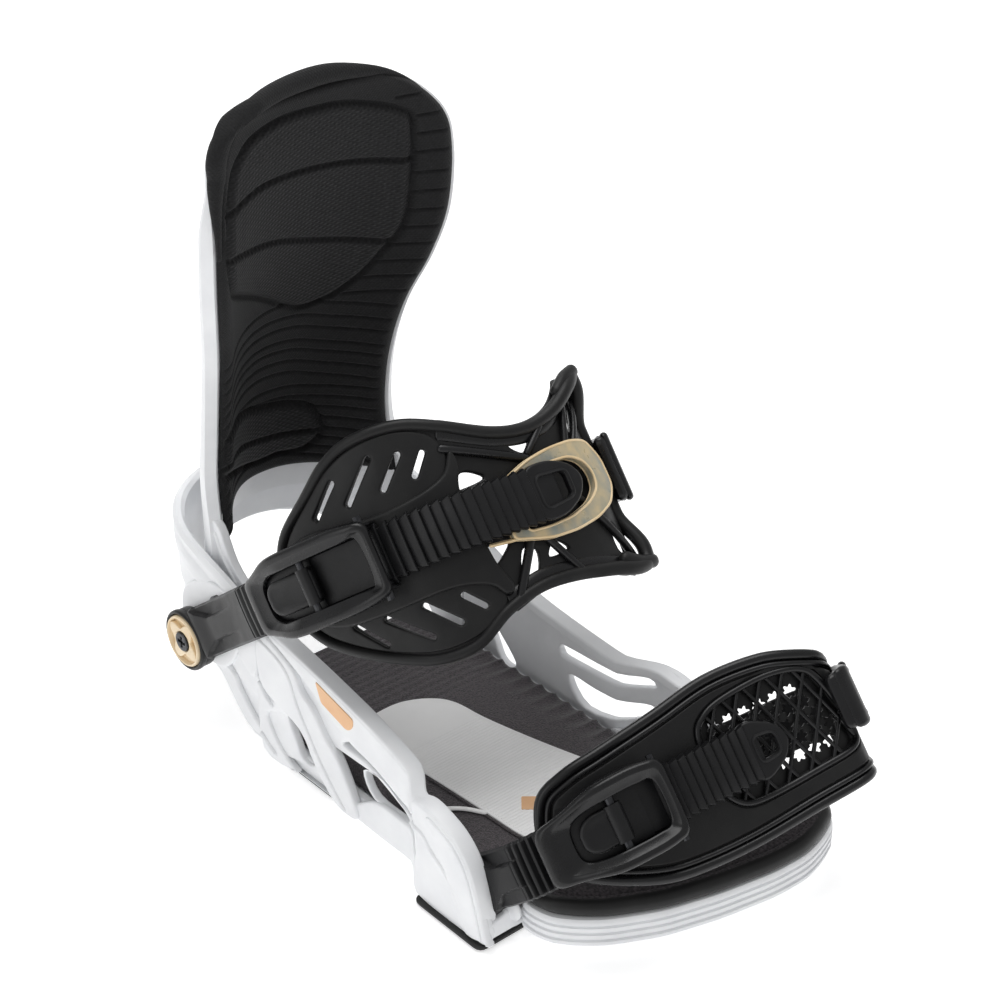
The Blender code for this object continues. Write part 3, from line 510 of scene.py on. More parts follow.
def make_footbed_fabric():
    """A dark open-cell fabric with a coarse weave."""
    surface = Surface("footbed_fabric", 0.9, sheen=0.25)
    surface.colour(surface.blend(surface.noise(1500, 4.0), (0.022, 0.019, 0.021), (0.105, 0.088, 0.096),
                                 0.35, 0.72))
    surface.bump(surface.cells(1300), 0.00035, 0.6)
    surface.bump(surface.noise(420, 3.0), 0.0004, 0.25)
    return surface.material


def make_amber():
    """A cloudy, slightly see-through elastomer."""
    surface = Surface("amber_elastomer", 0.28, coat=0.3)
    surface.colour(surface.blend(surface.noise(150, 4.0, (1, 1, 0.3)), (0.30, 0.33, 0.30),
                                 (0.70, 0.56, 0.33)))
    surface.rough(surface.noise(300, 3.0), 0.2, 0.42)
    surface.shader.inputs["Transmission Weight"].default_value = 0.12
    surface.shader.inputs["IOR"].default_value = 1.45
    surface.shader.inputs["Subsurface Weight"].default_value = 0.25
    surface.shader.inputs["Subsurface Radius"].default_value = (0.004, 0.003, 0.0015)
    surface.shader.inputs["Subsurface Scale"].default_value = 1.0
    surface.bump(surface.noise(500, 3.0), 0.0002, 0.25)
    return surface.material


def metal(name, low, high, roughness, brush=(1, 1, 12)):
    """A brushed metal: brush stretches the pattern along the strokes."""
    surface = Surface(name, roughness, metallic=1.0)
    surface.colour(surface.blend(surface.noise(300, 4.0), low, high))
    surface.rough(surface.noise(900, 4.0, brush), roughness - 0.08, roughness + 0.15)
    surface.bump(surface.noise(1800, 2.0, brush), 0.00005, 0.35)
    return surface.material


WHITE = moulded("white_nylon", (0.80, 0.81, 0.83), (0.86, 0.87, 0.885), 0.36, depth=0.00008)
WHITE_PANEL = moulded("white_panel", (0.94, 0.935, 0.93), (0.98, 0.975, 0.97), 0.5, grain=1800)
BLACK = moulded("black_nylon", (0.0045, 0.0045, 0.005), (0.009, 0.009, 0.010), 0.36, specular=0.32)
BLACK_SATIN = moulded("black_satin", (0.004, 0.004, 0.0045), (0.008, 0.008, 0.009), 0.27, depth=0.00006,
                      specular=0.4)
RUBBER = moulded("black_rubber", (0.005, 0.005, 0.0055), (0.010, 0.010, 0.010), 0.42, sheen=0.02,
                 specular=0.32)
SOLE_RUBBER = moulded("sole_rubber", (0.010, 0.010, 0.010), (0.020, 0.020, 0.020), 0.7, grain=1500)
PEACH = moulded("peach_print", (0.80, 0.46, 0.24), (0.86, 0.54, 0.31), 0.5)
CREAM = moulded("cream_anodised", (0.78, 0.62, 0.40), (0.84, 0.69, 0.48), 0.36, grain=3200)
CREAM_EDGE = moulded("amber_cut_edge", (0.76, 0.56, 0.30), (0.88, 0.70, 0.44), 0.4)
LINER_SKIN = make_foam("liner_skin", (0.004, 0.004, 0.0045), (0.009, 0.009, 0.010), 0.0011, 35, 0.00022)
PANEL_SKIN = make_foam("liner_panel_skin", (0.005, 0.005, 0.0055), (0.013, 0.013, 0.014), 0.0018, 62, 0.0006)
RAMP_FOAM = make_foam("ramp_foam", (0.018, 0.016, 0.018), (0.075, 0.064, 0.070), 0.0012, 50)
FOOTBED = make_footbed_fabric()
AMBER = make_amber()
STEEL = metal("zinc_steel", (0.50, 0.50, 0.51), (0.66, 0.66, 0.67), 0.3)
DARK_STEEL = metal("black_steel", (0.035, 0.036, 0.040), (0.075, 0.076, 0.080), 0.3)
DARK_ALUMINIUM = metal("dark_aluminium", (0.030, 0.030, 0.033), (0.060, 0.060, 0.064), 0.36, (1, 6, 1))


# ---- Walls ------------------------------------------------------------------------------------------
WALL_CUTS = 0.004


def drape(side):
    """Places (y, z, out) on the outer face of a wall; the toe post stands wider than the rail."""
    def place(flat):
        y, z, out = flat.T
        face = POST_OUTSIDE + (WALL_OUTSIDE - POST_OUTSIDE) * ease(y, -0.050, -0.030)
        return np.stack([side * (face + out), y, z], 1)

    return place


# Side views as (y, z): the rails' top edges, then their windows, and the beams that lie over them.
RAIL_TOP = {"outer": [(-.0890, .008), (-.0815, .030), (-.0745, .0395), (-.066, .0445), (-.054, .0475),
                      (-.045, .0450), (-.036, .0455), (-.021, .0505), (-.005, .0550), (.014, .0590),
                      (.033, .0625), (.051, .0655), (SPLIT_Y, .0675)],
            "inner": [(-.0890, .008), (-.0820, .030), (-.075, .0400), (-.066, .0450), (-.052, .0465),
                      (-.038, .0480), (-.015, .0495), (.008, .0515), (.024, .0540), (.038, .0585),
                      (.052, .0635), (SPLIT_Y, .0675)]}
RAIL_BOTTOM = 0.0029
REAR_HOLE = [(.0485, .0275), (.0455, .0290), (.0410, .0255), (.0310, .0155), (.0340, .0115), (.0400, .0125),
             (.0440, .0190)]
OUTER_MID_HOLE = [(-.0030, .0290), (-.0090, .0200), (-.0270, .0195), (-.0300, .0220), (-.0200, .0285),
                  (-.0120, .0310)]
OUTER_SLIT = [(.0110, .0345), (.0050, .0385), (-.0040, .0378), (-.0140, .0345), (-.0290, .0275),
              (-.0310, .0245), (-.0150, .0310), (-.0030, .0340)]
INNER_SLOT = [(-.0010, .0398), (-.0200, .0408), (-.0400, .0422), (-.0440, .0414), (-.0455, .0395),
              (-.0435, .0375), (-.0200, .0352), (-.0010, .0340), (.0020, .0352), (.0030, .0370),
              (.0018, .0390)]
INNER_MID_HOLE = [(-.0030, .0265), (-.0200, .0275), (-.0420, .0290), (-.0460, .0265), (-.0430, .0225),
                  (-.0140, .0150)]
DIAGONAL = [(.0640, .0640), (.0480, .0600), (.0400, .0560), (.0350, .0490), (.0270, .0430), (.0195, .0340),
            (.0115, .0270), (.0030, .0130), (.0010, .0040), (.0130, .0036), (.0220, .0100), (.0290, .0180),
            (.0350, .0270), (.0430, .0310), (.0530, .0330), (.0640, .0400)]
TOP_BAR = [(.0650, .0670), (.0510, .0653), (.0330, .0623), (.0140, .0588), (-.0050, .0548),
           (-.0210, .0503), (-.0360, .0453), (-.0420, .0440), (-.0400, .0340), (-.0320, .0290),
           (-.0120, .0362), (.0020, .0392), (.0110, .0425), (.0210, .0480), (.0400, .0570)]
LOW_BAR = [(.0130, .0036), (.0020, .0110), (-.0110, .0190), (-.0270, .0195), (-.0400, .0200),
           (-.0460, .0160), (-.0450, .0036)]
REAR_BAND = [(SPLIT_Y, .0400), (.0600, .0330), (.0540, .0330), (.0490, .0330), (.0440, .0315),
             (.0610, .0240), (.0570, .0140), (.0490, .0070), (.0420, .0036), (SPLIT_Y, .0036)]
POST = [(-.0450, .0448), (-.0540, .0474), (-.0660, .0445), (-.0745, .0394), (-.0815, .0298), (-.0888, .0080),
        (-.0880, .0031), (-.0485, .0031), (-.0475, .0160), (-.0490, .0300)]
POST_EDGE = [(-.0560, .0445), (-.0660, .0425), (-.0735, .0380), (-.0800, .0290), (-.0868, .0080),
             (-.0862, .0042), (-.0770, .0042), (-.0700, .0190), (-.0630, .0330)]
# Ridges that flow over the mouldings: their routes, and for the rail how far out each lies.
RAIL_FLOW = (([(.0655, .0108), (.0610, .0075), (.0570, .0052)], 0.0002),
             ([(.0650, .0368), (.0615, .0325), (.0575, .0297)], 0.0002),
             ([(.0630, .0600), (.0500, .0566), (.0430, .0515), (.0384, .0415), (.0318, .0315),
               (.0238, .0205), (.0135, .0095), (.0085, .0050)], 0.0010),
             ([(-.0465, .0350), (-.0530, .0345), (-.0590, .0290), (-.0668, .0235), (-.0730, .0165),
               (-.0785, .0055)], 0.0004))
LOOP_FLOW = ([(.1100, .0440), (.0990, .0370), (.0864, .0300), (.0824, .0244), (.0738, .0156),
              (.0668, .0112)],
             [(.0930, .0480), (.0860, .0450), (.0760, .0418), (.0668, .0378)])
LABEL = [(.0250, .0588), (.0010, .0530), (.0012, .0495), (.0032, .0468), (.0058, .0458), (.0215, .0503)]


def build_rail(label, side):
    """A rail: a web with its windows, and the beams that flow over it towards the toe post."""
    rail = Piece(label + "_rail_moulding", [WHITE, PEACH], WALL_CUTS)
    place = drape(side)
    top = catmull(RAIL_TOP[label], 4)
    web = np.vstack([[(-.0880, RAIL_BOTTOM)], top - (0, 0.0012), [(SPLIT_Y, RAIL_BOTTOM)]])
    if label == "outer":
        holes = [REAR_HOLE, OUTER_MID_HOLE, OUTER_SLIT]
    else:
        holes = [REAR_HOLE, INNER_SLOT, INNER_MID_HOLE]
    holes = [catmull(hole, 4, closed=True) for hole in holes]
    rail.bend(place, web, -WALL_THICKNESS, -0.0012, 0.0009, holes)
    flange = np.vstack([top[1:-1] + (0, 0.0007), top[1:-1][::-1] - (0, 0.0042)])
    rail.bend(place, flange, -WALL_THICKNESS - 0.0022, 0.0004, 0.0010)
    beams = [(DIAGONAL, 0.0014), (REAR_BAND, 0.0002), (POST, 0.0008)]
    if label == "outer":
        beams += [(TOP_BAR, 0.0006), (LOW_BAR, -0.0002)]
    for outline, height in beams:
        rail.bend(place, catmull(outline, 4, closed=True), -0.0030, height, 0.0011)
    rail.bend(place, catmull(POST_EDGE, 4, closed=True), 0.0, 0.0015, 0.0007)
    for route, out in RAIL_FLOW:
        rail.add(tube(at_height(catmull(route), out), 0.0013, 0.0012), place)

    def across_front(flat):
        return np.stack([side * flat[:, 0], flat[:, 2], flat[:, 1]], 1)

    front = rounded([(.0500, .0031), (.0655, .0031), (.0650, .0100), (.0560, .0125), (.0500, .0120)], 0.0015)
    rail.add(plate(front, -0.0882, -0.0800, 0.0009), across_front)
    ridge = catmull([(.0535, -.0875, .0125), (.0540, -.0700, .0145), (.0545, -.0560, .0150),
                     (.0530, -.0450, .0140), (.0512, -.0360, .0120)]) * (side, 1, 1)
    rail.add(tube(ridge, 0.0018, 0.0052, sides=12))
    ledge = [(SPLIT_Y, .0036), (SPLIT_Y, .0120), (-.0340, .0120), (-.0340, .0036)]
    rail.bend(place, ledge, -0.0068, -0.0030, 0.0006)
    if label == "outer":
        rail.bend(place, rounded(LABEL, 0.0012), 0.0001, 0.0010, 0.0002, material=1)
    rail.finish("base", [label + "_rail"], smooth=40)


def loop_edge(y):
    """The heel loop's lower and upper edge at a place along the side view."""
    low = np.interp(y, [.066, .079, .088, .097, .112, .128, .142, .150, .157],
                    [.0029, .0040, .012, .023, .029, .034, .043, .050, .055])
    high = np.interp(y, [.066, .085, .102, .120, .140, .157], [.0675, .0745, .0795, .0855, .0895, .0905])
    return low, high


def build_heel_loop():
    """The loop round the heel, with two bands that sweep up and back over its outside."""
    edge_radius = 0.0016
    straight = np.linspace(SPLIT_Y + 0.0003, LOOP_BEND_Y, 14)[:-1]
    turns = np.linspace(0, math.pi, 60)
    depth = LOOP_BACK_Y - LOOP_BEND_Y
    bend = np.stack([-WALL_OUTSIDE * np.cos(turns), LOOP_BEND_Y + depth * np.sin(turns)], 1)
    flank = np.stack([np.full(len(straight), -WALL_OUTSIDE), straight], 1)
    plan = np.vstack([flank, bend, flank[::-1] * (-1, 1)])
    way = np.gradient(plan, axis=0)
    way /= np.linalg.norm(way, axis=1, keepdims=True)
    normal = np.stack([-way[:, 1], way[:, 0]], 1)
    w = np.linspace(0, 1, 30)
    low, high = loop_edge(plan[:, 1])
    backness = ease(plan[:, 1], 0.070, LOOP_BACK_Y)
    sections = []
    for point, out, z0, z1, f in zip(plan, normal, low, high, backness):
        z = z0 + (z1 - z0) * w
        edge = np.minimum(w, 1 - w) * (z1 - z0)
        soft = edge_radius * fall(1 - edge / edge_radius)
        first, second = 0.30 + 0.16 * f, 0.62 + 0.12 * f
        band = 0.0012 * ease(w, first, first + 0.07) + 0.0012 * ease(w, second, second + 0.06)
        groove = 0.0014 * bell(w, 0.88, 0.05)
        outside = -0.0022 + band - groove - soft
        inner = -WALL_THICKNESS + soft
        sections.append([(*(point + out * o), h)
                         for o, h in zip([*outside, *inner[::-1]], [*z, *z[::-1]])])
    loop = Piece("heel_loop_moulding", [WHITE], WALL_CUTS)
    loop.add(loft(sections))
    for side in (-1, 1):
        place = drape(side)
        pad = catmull([(.093, .030), (.117, .032), (.121, .046), (.117, .060), (.100, .070), (.082, .070),
                       (.076, .060), (.080, .045)], 6, closed=True)
        loop.add(plate(pad, -0.0040, 0.0004, 0.0012), place)
        strake = catmull([(.0664, .0640), (.0664, .0400), (.0760, .0420), (.0830, .0560), (.0900, .0700),
                          (.0800, .0700)], 4, closed=True)
        loop.bend(place, strake, -0.0030, 0.0012, 0.0011)
        for route in LOOP_FLOW:
            loop.add(tube(at_height(catmull(route), -0.0016), 0.0015), place)
    loop.finish("base", ["heel_loop"], smooth=42)


# ---- Footbed, tray and ramp -------------------------------------------------------------------------
def build_footbed():
    """A foam footbed with a scalloped inner edge, cross ribs under the heel and a rolled rim."""
    low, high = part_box("footbed_pad")
    heel_y, heel_round_y, toe_round_y = high.y + 0.0150, 0.0760, -0.0815
    rim_radius, rib_pitch, scallop_pitch = 0.0028, 0.0042, 0.0085
    y = np.linspace(low.y, heel_y, 260)
    half = 0.0488 + 0.0040 * ease(-y, 0.040, 0.056)
    half -= 0.022 * fall((y - heel_round_y) / (heel_y + 0.0005 - heel_round_y))
    half -= 0.005 * fall((toe_round_y - y) / 0.0055)
    scallop = 0.0011 * np.abs(np.sin(math.pi * y / scallop_pitch))
    scallop *= ease(y, -0.050, -0.035) * ease(-y, -0.060, -0.045)
    u = np.linspace(-1, 1, 80)
    x = np.where(u[None] > 0, u[None] * (half + 0.0006 - 0.6 * scallop)[:, None], u[None] * half[:, None])
    edge = np.minimum.reduce([(1 - np.abs(u))[None] * half[:, None],
                              np.broadcast_to((y - low.y)[:, None], x.shape),
                              np.broadcast_to((heel_y - y)[:, None], x.shape)])
    soft = rim_radius * fall(1 - edge / rim_radius)
    ribs = 0.00013 * (1 + np.cos(2 * math.pi * (y[:, None] + 0.48 * x ** 2) / rib_pitch))
    ribs *= ease(y, 0.022, 0.034)[:, None]
    folds = scallop[:, None] * ease(x, 0.030, 0.046)
    crown = 0.00054 * ease(edge, 0.0, 0.020)
    height = high.z - 0.0010 - soft + crown - ribs - folds
    top = np.stack([x, np.broadcast_to(y[:, None], x.shape), height], 2)
    bottom = top.copy()
    bottom[..., 2] = low.z + soft * 0.4
    pad = Piece("footbed_foam", [FOOTBED])
    pad.add(slab(top, bottom))
    pad.finish("base", ["footbed_pad"], smooth=60)


def build_footbed_panel():
    """The white panel on the footbed: fine cross lines, a dark seam round its edge, a curved line, a peach
    tag.
    """
    low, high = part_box("footbed_insert")
    outline = catmull([(-.0330, .0300), (-.0270, .0340), (-.0190, .0360), (-.0070, .0352), (.0040, .0290),
                       (.0098, .0200), (.0122, .0030), (.0175, -.0205), (.0240, -.0440), (.0305, -.0650),
                       (.0342, -.0825), (.0000, -.0835), (-.0230, -.0820), (-.0278, -.0650),
                       (-.0288, -.0500), (-.0292, -.0420), (-.0305, -.0180), (-.0323, .0100)], closed=True)
    panel = Piece("footbed_panel", [WHITE_PANEL, PEACH, FOOTBED])
    base = high.z - 0.0003
    panel.add(plate(outline, low.z - 0.0004, base, 0.0004))
    line_pitch, line_margin = 0.0016, 0.0012
    clear = inset(outline, line_margin)
    across = np.linspace(-0.034, 0.038, 120)
    for y in np.arange(low.y + 0.004, 0.006, line_pitch):
        row = across[inside(np.column_stack([across, np.full(len(across), y)]), clear)]
        if len(row) > 4:
            panel.add(tube([(row[0], y, base), (row[-1], y, base)], 0.00045, 0.00016, sides=6))
    tag = rounded([(-.0124, -.0466), (-.0177, -.0527), (-.0110, -.0585), (-.0057, -.0524)], 0.0006)
    panel.add(plate(tag, base - 0.0002, base + 0.0004, 0.0001), material=1)
    curve = catmull([(-.0515, -.0290), (-.0450, -.0295), (-.0390, -.0325), (-.0335, -.0375),
                     (-.0292, -.0445)])
    panel.add(tube(at_height(curve, low.z + 0.0002), 0.0011, 0.0007, sides=8))
    seam = inset(outline, -0.0006)
    panel.add(tube(at_height(seam, low.z - 0.0001), 0.0007, 0.0004, sides=6, closed=True), material=2)
    panel.finish("base", ["footbed_insert"], smooth=35)


DISC_FOOT, DISC_RIM = 0.0395, 0.0455
DISC_LEDGE = 0.0058         # height at which the disc widens from its foot to its rim


def spokes(count, start, end, height):
    """Straight paths that point out from the disc's centre."""
    for way in circle(1.0, count):
        yield [(*(way * start), height), (*(way * end), height)]


def build_tray():
    """The tray: a stepped hole with radial teeth for the disc, and side ribs that tie it to the rails."""
    tray = Piece("baseplate_moulding", [WHITE])
    outline = [(-.0470, .084), (-.0500, .066), (-.0500, -.040), (-.0552, -.050), (-.0552, -.0880)]
    outline += [(-x, y) for x, y in reversed(outline)]
    shape = rounded(outline, 0.004)
    low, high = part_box("baseplate")
    ledge = DISC_LEDGE - 0.0001
    tray.add(plate(shape, low.z, ledge, 0.0006, [circle(DISC_FOOT + 0.0010, 72)]))
    tray.add(plate(shape, ledge, high.z, 0.0006, [circle(DISC_RIM + 0.0007, 72)]))
    for tooth in spokes(48, DISC_FOOT + 0.0013, DISC_RIM + 0.0005, ledge + 0.0002):
        tray.add(tube(tooth, 0.0008, 0.0003, sides=4, blunt=False))
    for side in (-1, 1):
        for y in (-.072, -.050, -.028, .045, .058):
            rib = [(side * 0.0455, y, 0.0085), (side * 0.0545, y, 0.0085)]
            tray.add(tube(rib, 0.0010, 0.0008, sides=6))
    tray.finish("base", ["baseplate"], smooth=35)


def build_disc():
    """The mounting disc: recessed centre, four countersunk board holes and ribs between them."""
    low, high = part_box("mounting_disc")
    corners = [(x, y) for x in (-0.020, 0.020) for y in (-0.020, 0.020)]
    holes = [circle(BOLT_HOLE, 20, corner) for corner in corners]
    wells = [circle(0.0062, 28, corner) for corner in corners]
    disc = Piece("disc_moulding", [BLACK])
    disc.add(plate(circle(DISC_FOOT, 80), low.z, DISC_LEDGE, 0.0004, holes))
    disc.add(plate(circle(DISC_RIM, 80), DISC_LEDGE, high.z - 0.0010, 0.0005, wells))
    disc.add(plate(circle(DISC_RIM, 80), high.z - 0.0014, high.z, 0.0004, [circle(0.0385, 64)]))
    for rib in spokes(8, 0.010, 0.039, high.z - 0.0010):
        disc.add(tube(rib, 0.0011, 0.0008, sides=6))
    disc.finish("disc", ["mounting_disc"], smooth=35)


# The toe ramp in plan, as (x, y).
RAMP_FRONT = [(.0545, -.0892), (.0635, -.0980), (.0725, -.1090), (.0770, -.1180), (.0778, -.1275),
              (.0735, -.1350), (.0620, -.1400), (.0500, -.1428), (.0330, -.1420), (.0080, -.1370),
              (-.0150, -.1300), (-.0340, -.1200), (-.0430, -.1125), (-.0495, -.1045), (-.0515, -.0960),
              (-.0510, -.0892)]


def stacked(outline, layers, closed=False):
    """A body from one outline, moved inward by each layer's inset at that layer's height."""
    return loft([at_height(inset(outline, distance), z) for distance, z in layers], closed)


def build_ramp():
    """The white toe ramp with three grooves round its front, and its thick rimmed pad."""
    outline = resample(rounded(RAMP_FRONT, 0.006, 5), 220, closed=True)
    low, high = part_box("toe_ramp")
    # The layers climb the outside, cross the top and come down the inside, each as (inset, height).
    layers = [(0.0012, low.z), (0.0003, low.z + 0.0007), (0.0, low.z + 0.0016)]
    for groove in (0.0068, 0.0100, 0.0132):
        layers += [(0.0, groove - 0.0007), (0.0009, groove - 0.0003), (0.0009, groove + 0.0003),
                   (0.0001, groove + 0.0007)]
    layers += [(0.0002, high.z - 0.0014), (0.0009, high.z - 0.0004), (0.0022, high.z),
               (0.0060, high.z - 0.0002), (0.0062, 0.0130), (0.0060, low.z)]
    ramp = Piece("toe_ramp_moulding", [WHITE])
    ramp.add(stacked(outline, layers, closed=True))
    ramp.add(plate(inset(outline, 0.0035), 0.0128, high.z - 0.0002, 0.0006))
    tongue = rounded([(-.0298, -.0940), (-.0298, -.0615), (.0298, -.0615), (.0298, -.0940)], 0.002)
    ramp.add(plate(tongue, 0.0064, 0.0086, 0.0004))
    for x in (-0.015, 0.006, 0.027, 0.046):
        ramp.add(tube([(x, -0.093, 0.0105), (x + 0.003, -0.128, 0.0105)], 0.0010, 0.0025, sides=6))
    ramp.finish("ramp", ["toe_ramp"], smooth=35)

    pad_low, pad_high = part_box("toe_ramp_pad")
    layers = [(0.0018, pad_low.z), (0.0006, pad_low.z + 0.0010), (0.0002, pad_low.z + 0.0026),
              (0.0006, pad_low.z + 0.0046), (0.0018, pad_high.z - 0.0012), (0.0036, pad_high.z - 0.0002),
              (0.0052, pad_high.z - 0.0004), (0.0064, pad_high.z - 0.0014), (0.0076, pad_high.z - 0.0010)]
    pad = Piece("toe_ramp_cushion", [RUBBER, RAMP_FOAM])
    field = inset(outline, 0.0042)

    def skin_or_foam(centres):
        return inside(centres[:, :2], field) & (centres[:, 2] > pad_high.z - 0.0030)

    pad.add(stacked(outline * (0.985, 1.0), layers), material=skin_or_foam)
    top = pad_high.z - 0.0010
    clear = inset(outline, 0.0090)
    for k in range(6):
        route = catmull([(.016 + .008 * k, -.0935 - .001 * k), (.030 + .0075 * k, -.1060),
                         (.030 + .0066 * k, -.1180), (.022 + .0060 * k, -.1300)])
        route = route[inside(route, clear)]
        if len(route) > 6:
            pad.add(tube(at_height(route, top), 0.0007, 0.0006, sides=6), material=1)
    pad.finish("ramp", ["toe_ramp_pad"], smooth=55)


def rectangle(x, y, half_x, half_y):
    """The four corners of a rectangle round a centre."""
    return [(x - half_x, y - half_y), (x + half_x, y - half_y), (x + half_x, y + half_y),
            (x - half_x, y + half_y)]


def build_soles():
    """The rubber soles under the toe and the heel, with tread bars across them."""
    bars, bar_half, margin = 9, 0.0058, 0.0020
    for name, y, half_x, half_y in (("toe_rubber", -0.0689, 0.0702, 0.0199),
                                    ("heel_rubber", 0.0425, 0.0545, 0.0225)):
        low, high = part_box(name)
        sole = Piece(name + "_tread", [SOLE_RUBBER])
        sole.add(plate(rounded(rectangle(0.0, y, half_x, half_y), 0.004), low.z + 0.0008, high.z, 0.0005))
        for k in range(bars):
            x = half_x * ((2 * k + 1) / bars - 1)
            bar = rounded(rectangle(x, y, bar_half, half_y - margin), 0.0012)
            sole.add(plate(bar, low.z, low.z + 0.0012, 0.0003))
        sole.finish("base", [name], smooth=35)


build_rail("outer", -1)
build_rail("inner", 1)
build_heel_loop()
build_footbed()
build_footbed_panel()
build_tray()
build_disc()
build_ramp()
build_soles()


# ---- Highback ---------------------------------------------------------------------------------------
# The highback at rising heights: (z, half width, y of its side edges, y of its middle).
HIGHBACK = catmull([(.072, .0470, .1000, .1430), (.090, .0462, .1020, .1400), (.110, .0447, .1055, .1360),
                    (.130, .0442, .1040, .1310), (.150, .0452, .1000, .1250), (.170, .0481, .0935, .1180),
                    (.190, .0535, .0845, .1105), (.210, .0573, .0780, .1035), (.230, .0582, .0753, .0975),
                    (.246, .0578, .0757, .0930), (.259, .0550, .0765, .0895), (.270, .0460, .0785, .0865),
                    (.277, .0300, .0800, .0845)], 6)
CUP = 2.2                   # how late the cupped section curves round: the power of u
SHELL_THICKNESS = 0.0035
PIVOT = (0.0900, 0.0600)


def half_width(z):
    """The highback's half width at a height."""
    return np.interp(z, HIGHBACK[:, 0], HIGHBACK[:, 1])


def lopsided(z):
    """How far the top of the highback reaches over to the outer side."""
    return -0.0070 * ease(z, 0.246, 0.277)


def highback_grid(half, z, count, crowding=1.0):
    """A grid of (x, z) points between the side edges, crowded towards them; given as one long list."""
    u = np.linspace(-1, 1, count)
    u = np.sign(u) * (1 - (1 - np.abs(u)) ** crowding)
    x = u[None] * half[:, None] + lopsided(z)[:, None]
    return np.stack([x, np.broadcast_to(z[:, None], x.shape)], 2).reshape(-1, 2)


def to_side(flat):
    """The distance of each (x, z) point from the nearer side edge."""
    return half_width(flat[:, 1]) - np.abs(flat[:, 0] - lopsided(flat[:, 1]))


def on_highback(flat):
    """Places (x, z, distance towards the leg) on the highback's inner face."""
    x, z, inward = flat.T
    half = half_width(z)
    edge_y = np.interp(z, HIGHBACK[:, 0], HIGHBACK[:, 2])
    centre_y = np.interp(z, HIGHBACK[:, 0], HIGHBACK[:, 3])
    u = np.clip(np.abs(x) / half, 0, 1.25)
    y = centre_y - (centre_y - edge_y) * u ** CUP
    slope = -(centre_y - edge_y) * CUP * u ** (CUP - 1) * np.sign(x) / half
    size = np.sqrt(slope ** 2 + 1)
    return np.stack([x + slope / size * inward, y - inward / size, z], 1)


def highback_path(points, steps=8):
    """A smooth path given as (u, z), u running from -1 to 1 across the highback, as (x, z)."""
    p = np.array(points, float)
    p = catmull(p, steps) if len(p) > 2 else resample(p, 24)
    return np.stack([p[:, 0] * half_width(p[:, 1]), p[:, 1]], 1)


# Embossed panels and seams as (u, z), u running from -1 to 1 across the highback. The side lines are given
# as (z, u where the line starts), and the cross lines by their height at the inner edge.
UPPER_PANEL = [(-.930, .239), (-.900, .253), (-.845, .260), (-.750, .265), (-.463, .268), (-.162, .268),
               (.175, .267), (.488, .263), (.663, .259), (.725, .255), (.738, .245), (.750, .230),
               (.763, .214), (.750, .204), (.688, .195), (.613, .185), (.513, .178), (.375, .173),
               (.137, .171), (-.100, .176), (-.412, .186), (-.850, .201), (-.922, .211), (-.938, .224)]
UPPER_SEAMS = [[(-.930, .239), (-.613, .242), (-.262, .242), (.062, .241), (.400, .239), (.725, .236)],
               [(-.930, .220), (-.637, .216), (-.287, .212), (.100, .206), (.438, .202), (.688, .199)]]
LOWER_PANEL = [(-.95, .127), (-.550, .127), (-.175, .123), (.200, .120), (.413, .117), (.525, .111),
               (.562, .104), (.488, .097), (.363, .093), (.125, .093), (-.188, .093), (-.625, .100),
               (-.963, .112)]
LOWER_SEAM = [(-.963, .114), (-.637, .111), (-.212, .106), (.175, .104), (.513, .103)]
SIDE_LINES = [(.264, .65), (.255, .775), (.247, .775), (.239, .77), (.230, .77), (.2215, .78), (.213, .78),
              (.205, .77), (.197, .71), (.189, .675), (.1815, .61), (.174, .51)]
CROSS_LINES = (.167, .160, .154, .147, .142, .136, .130, .125, .1195, .114, .1085, .103, .098, .093, .0885)


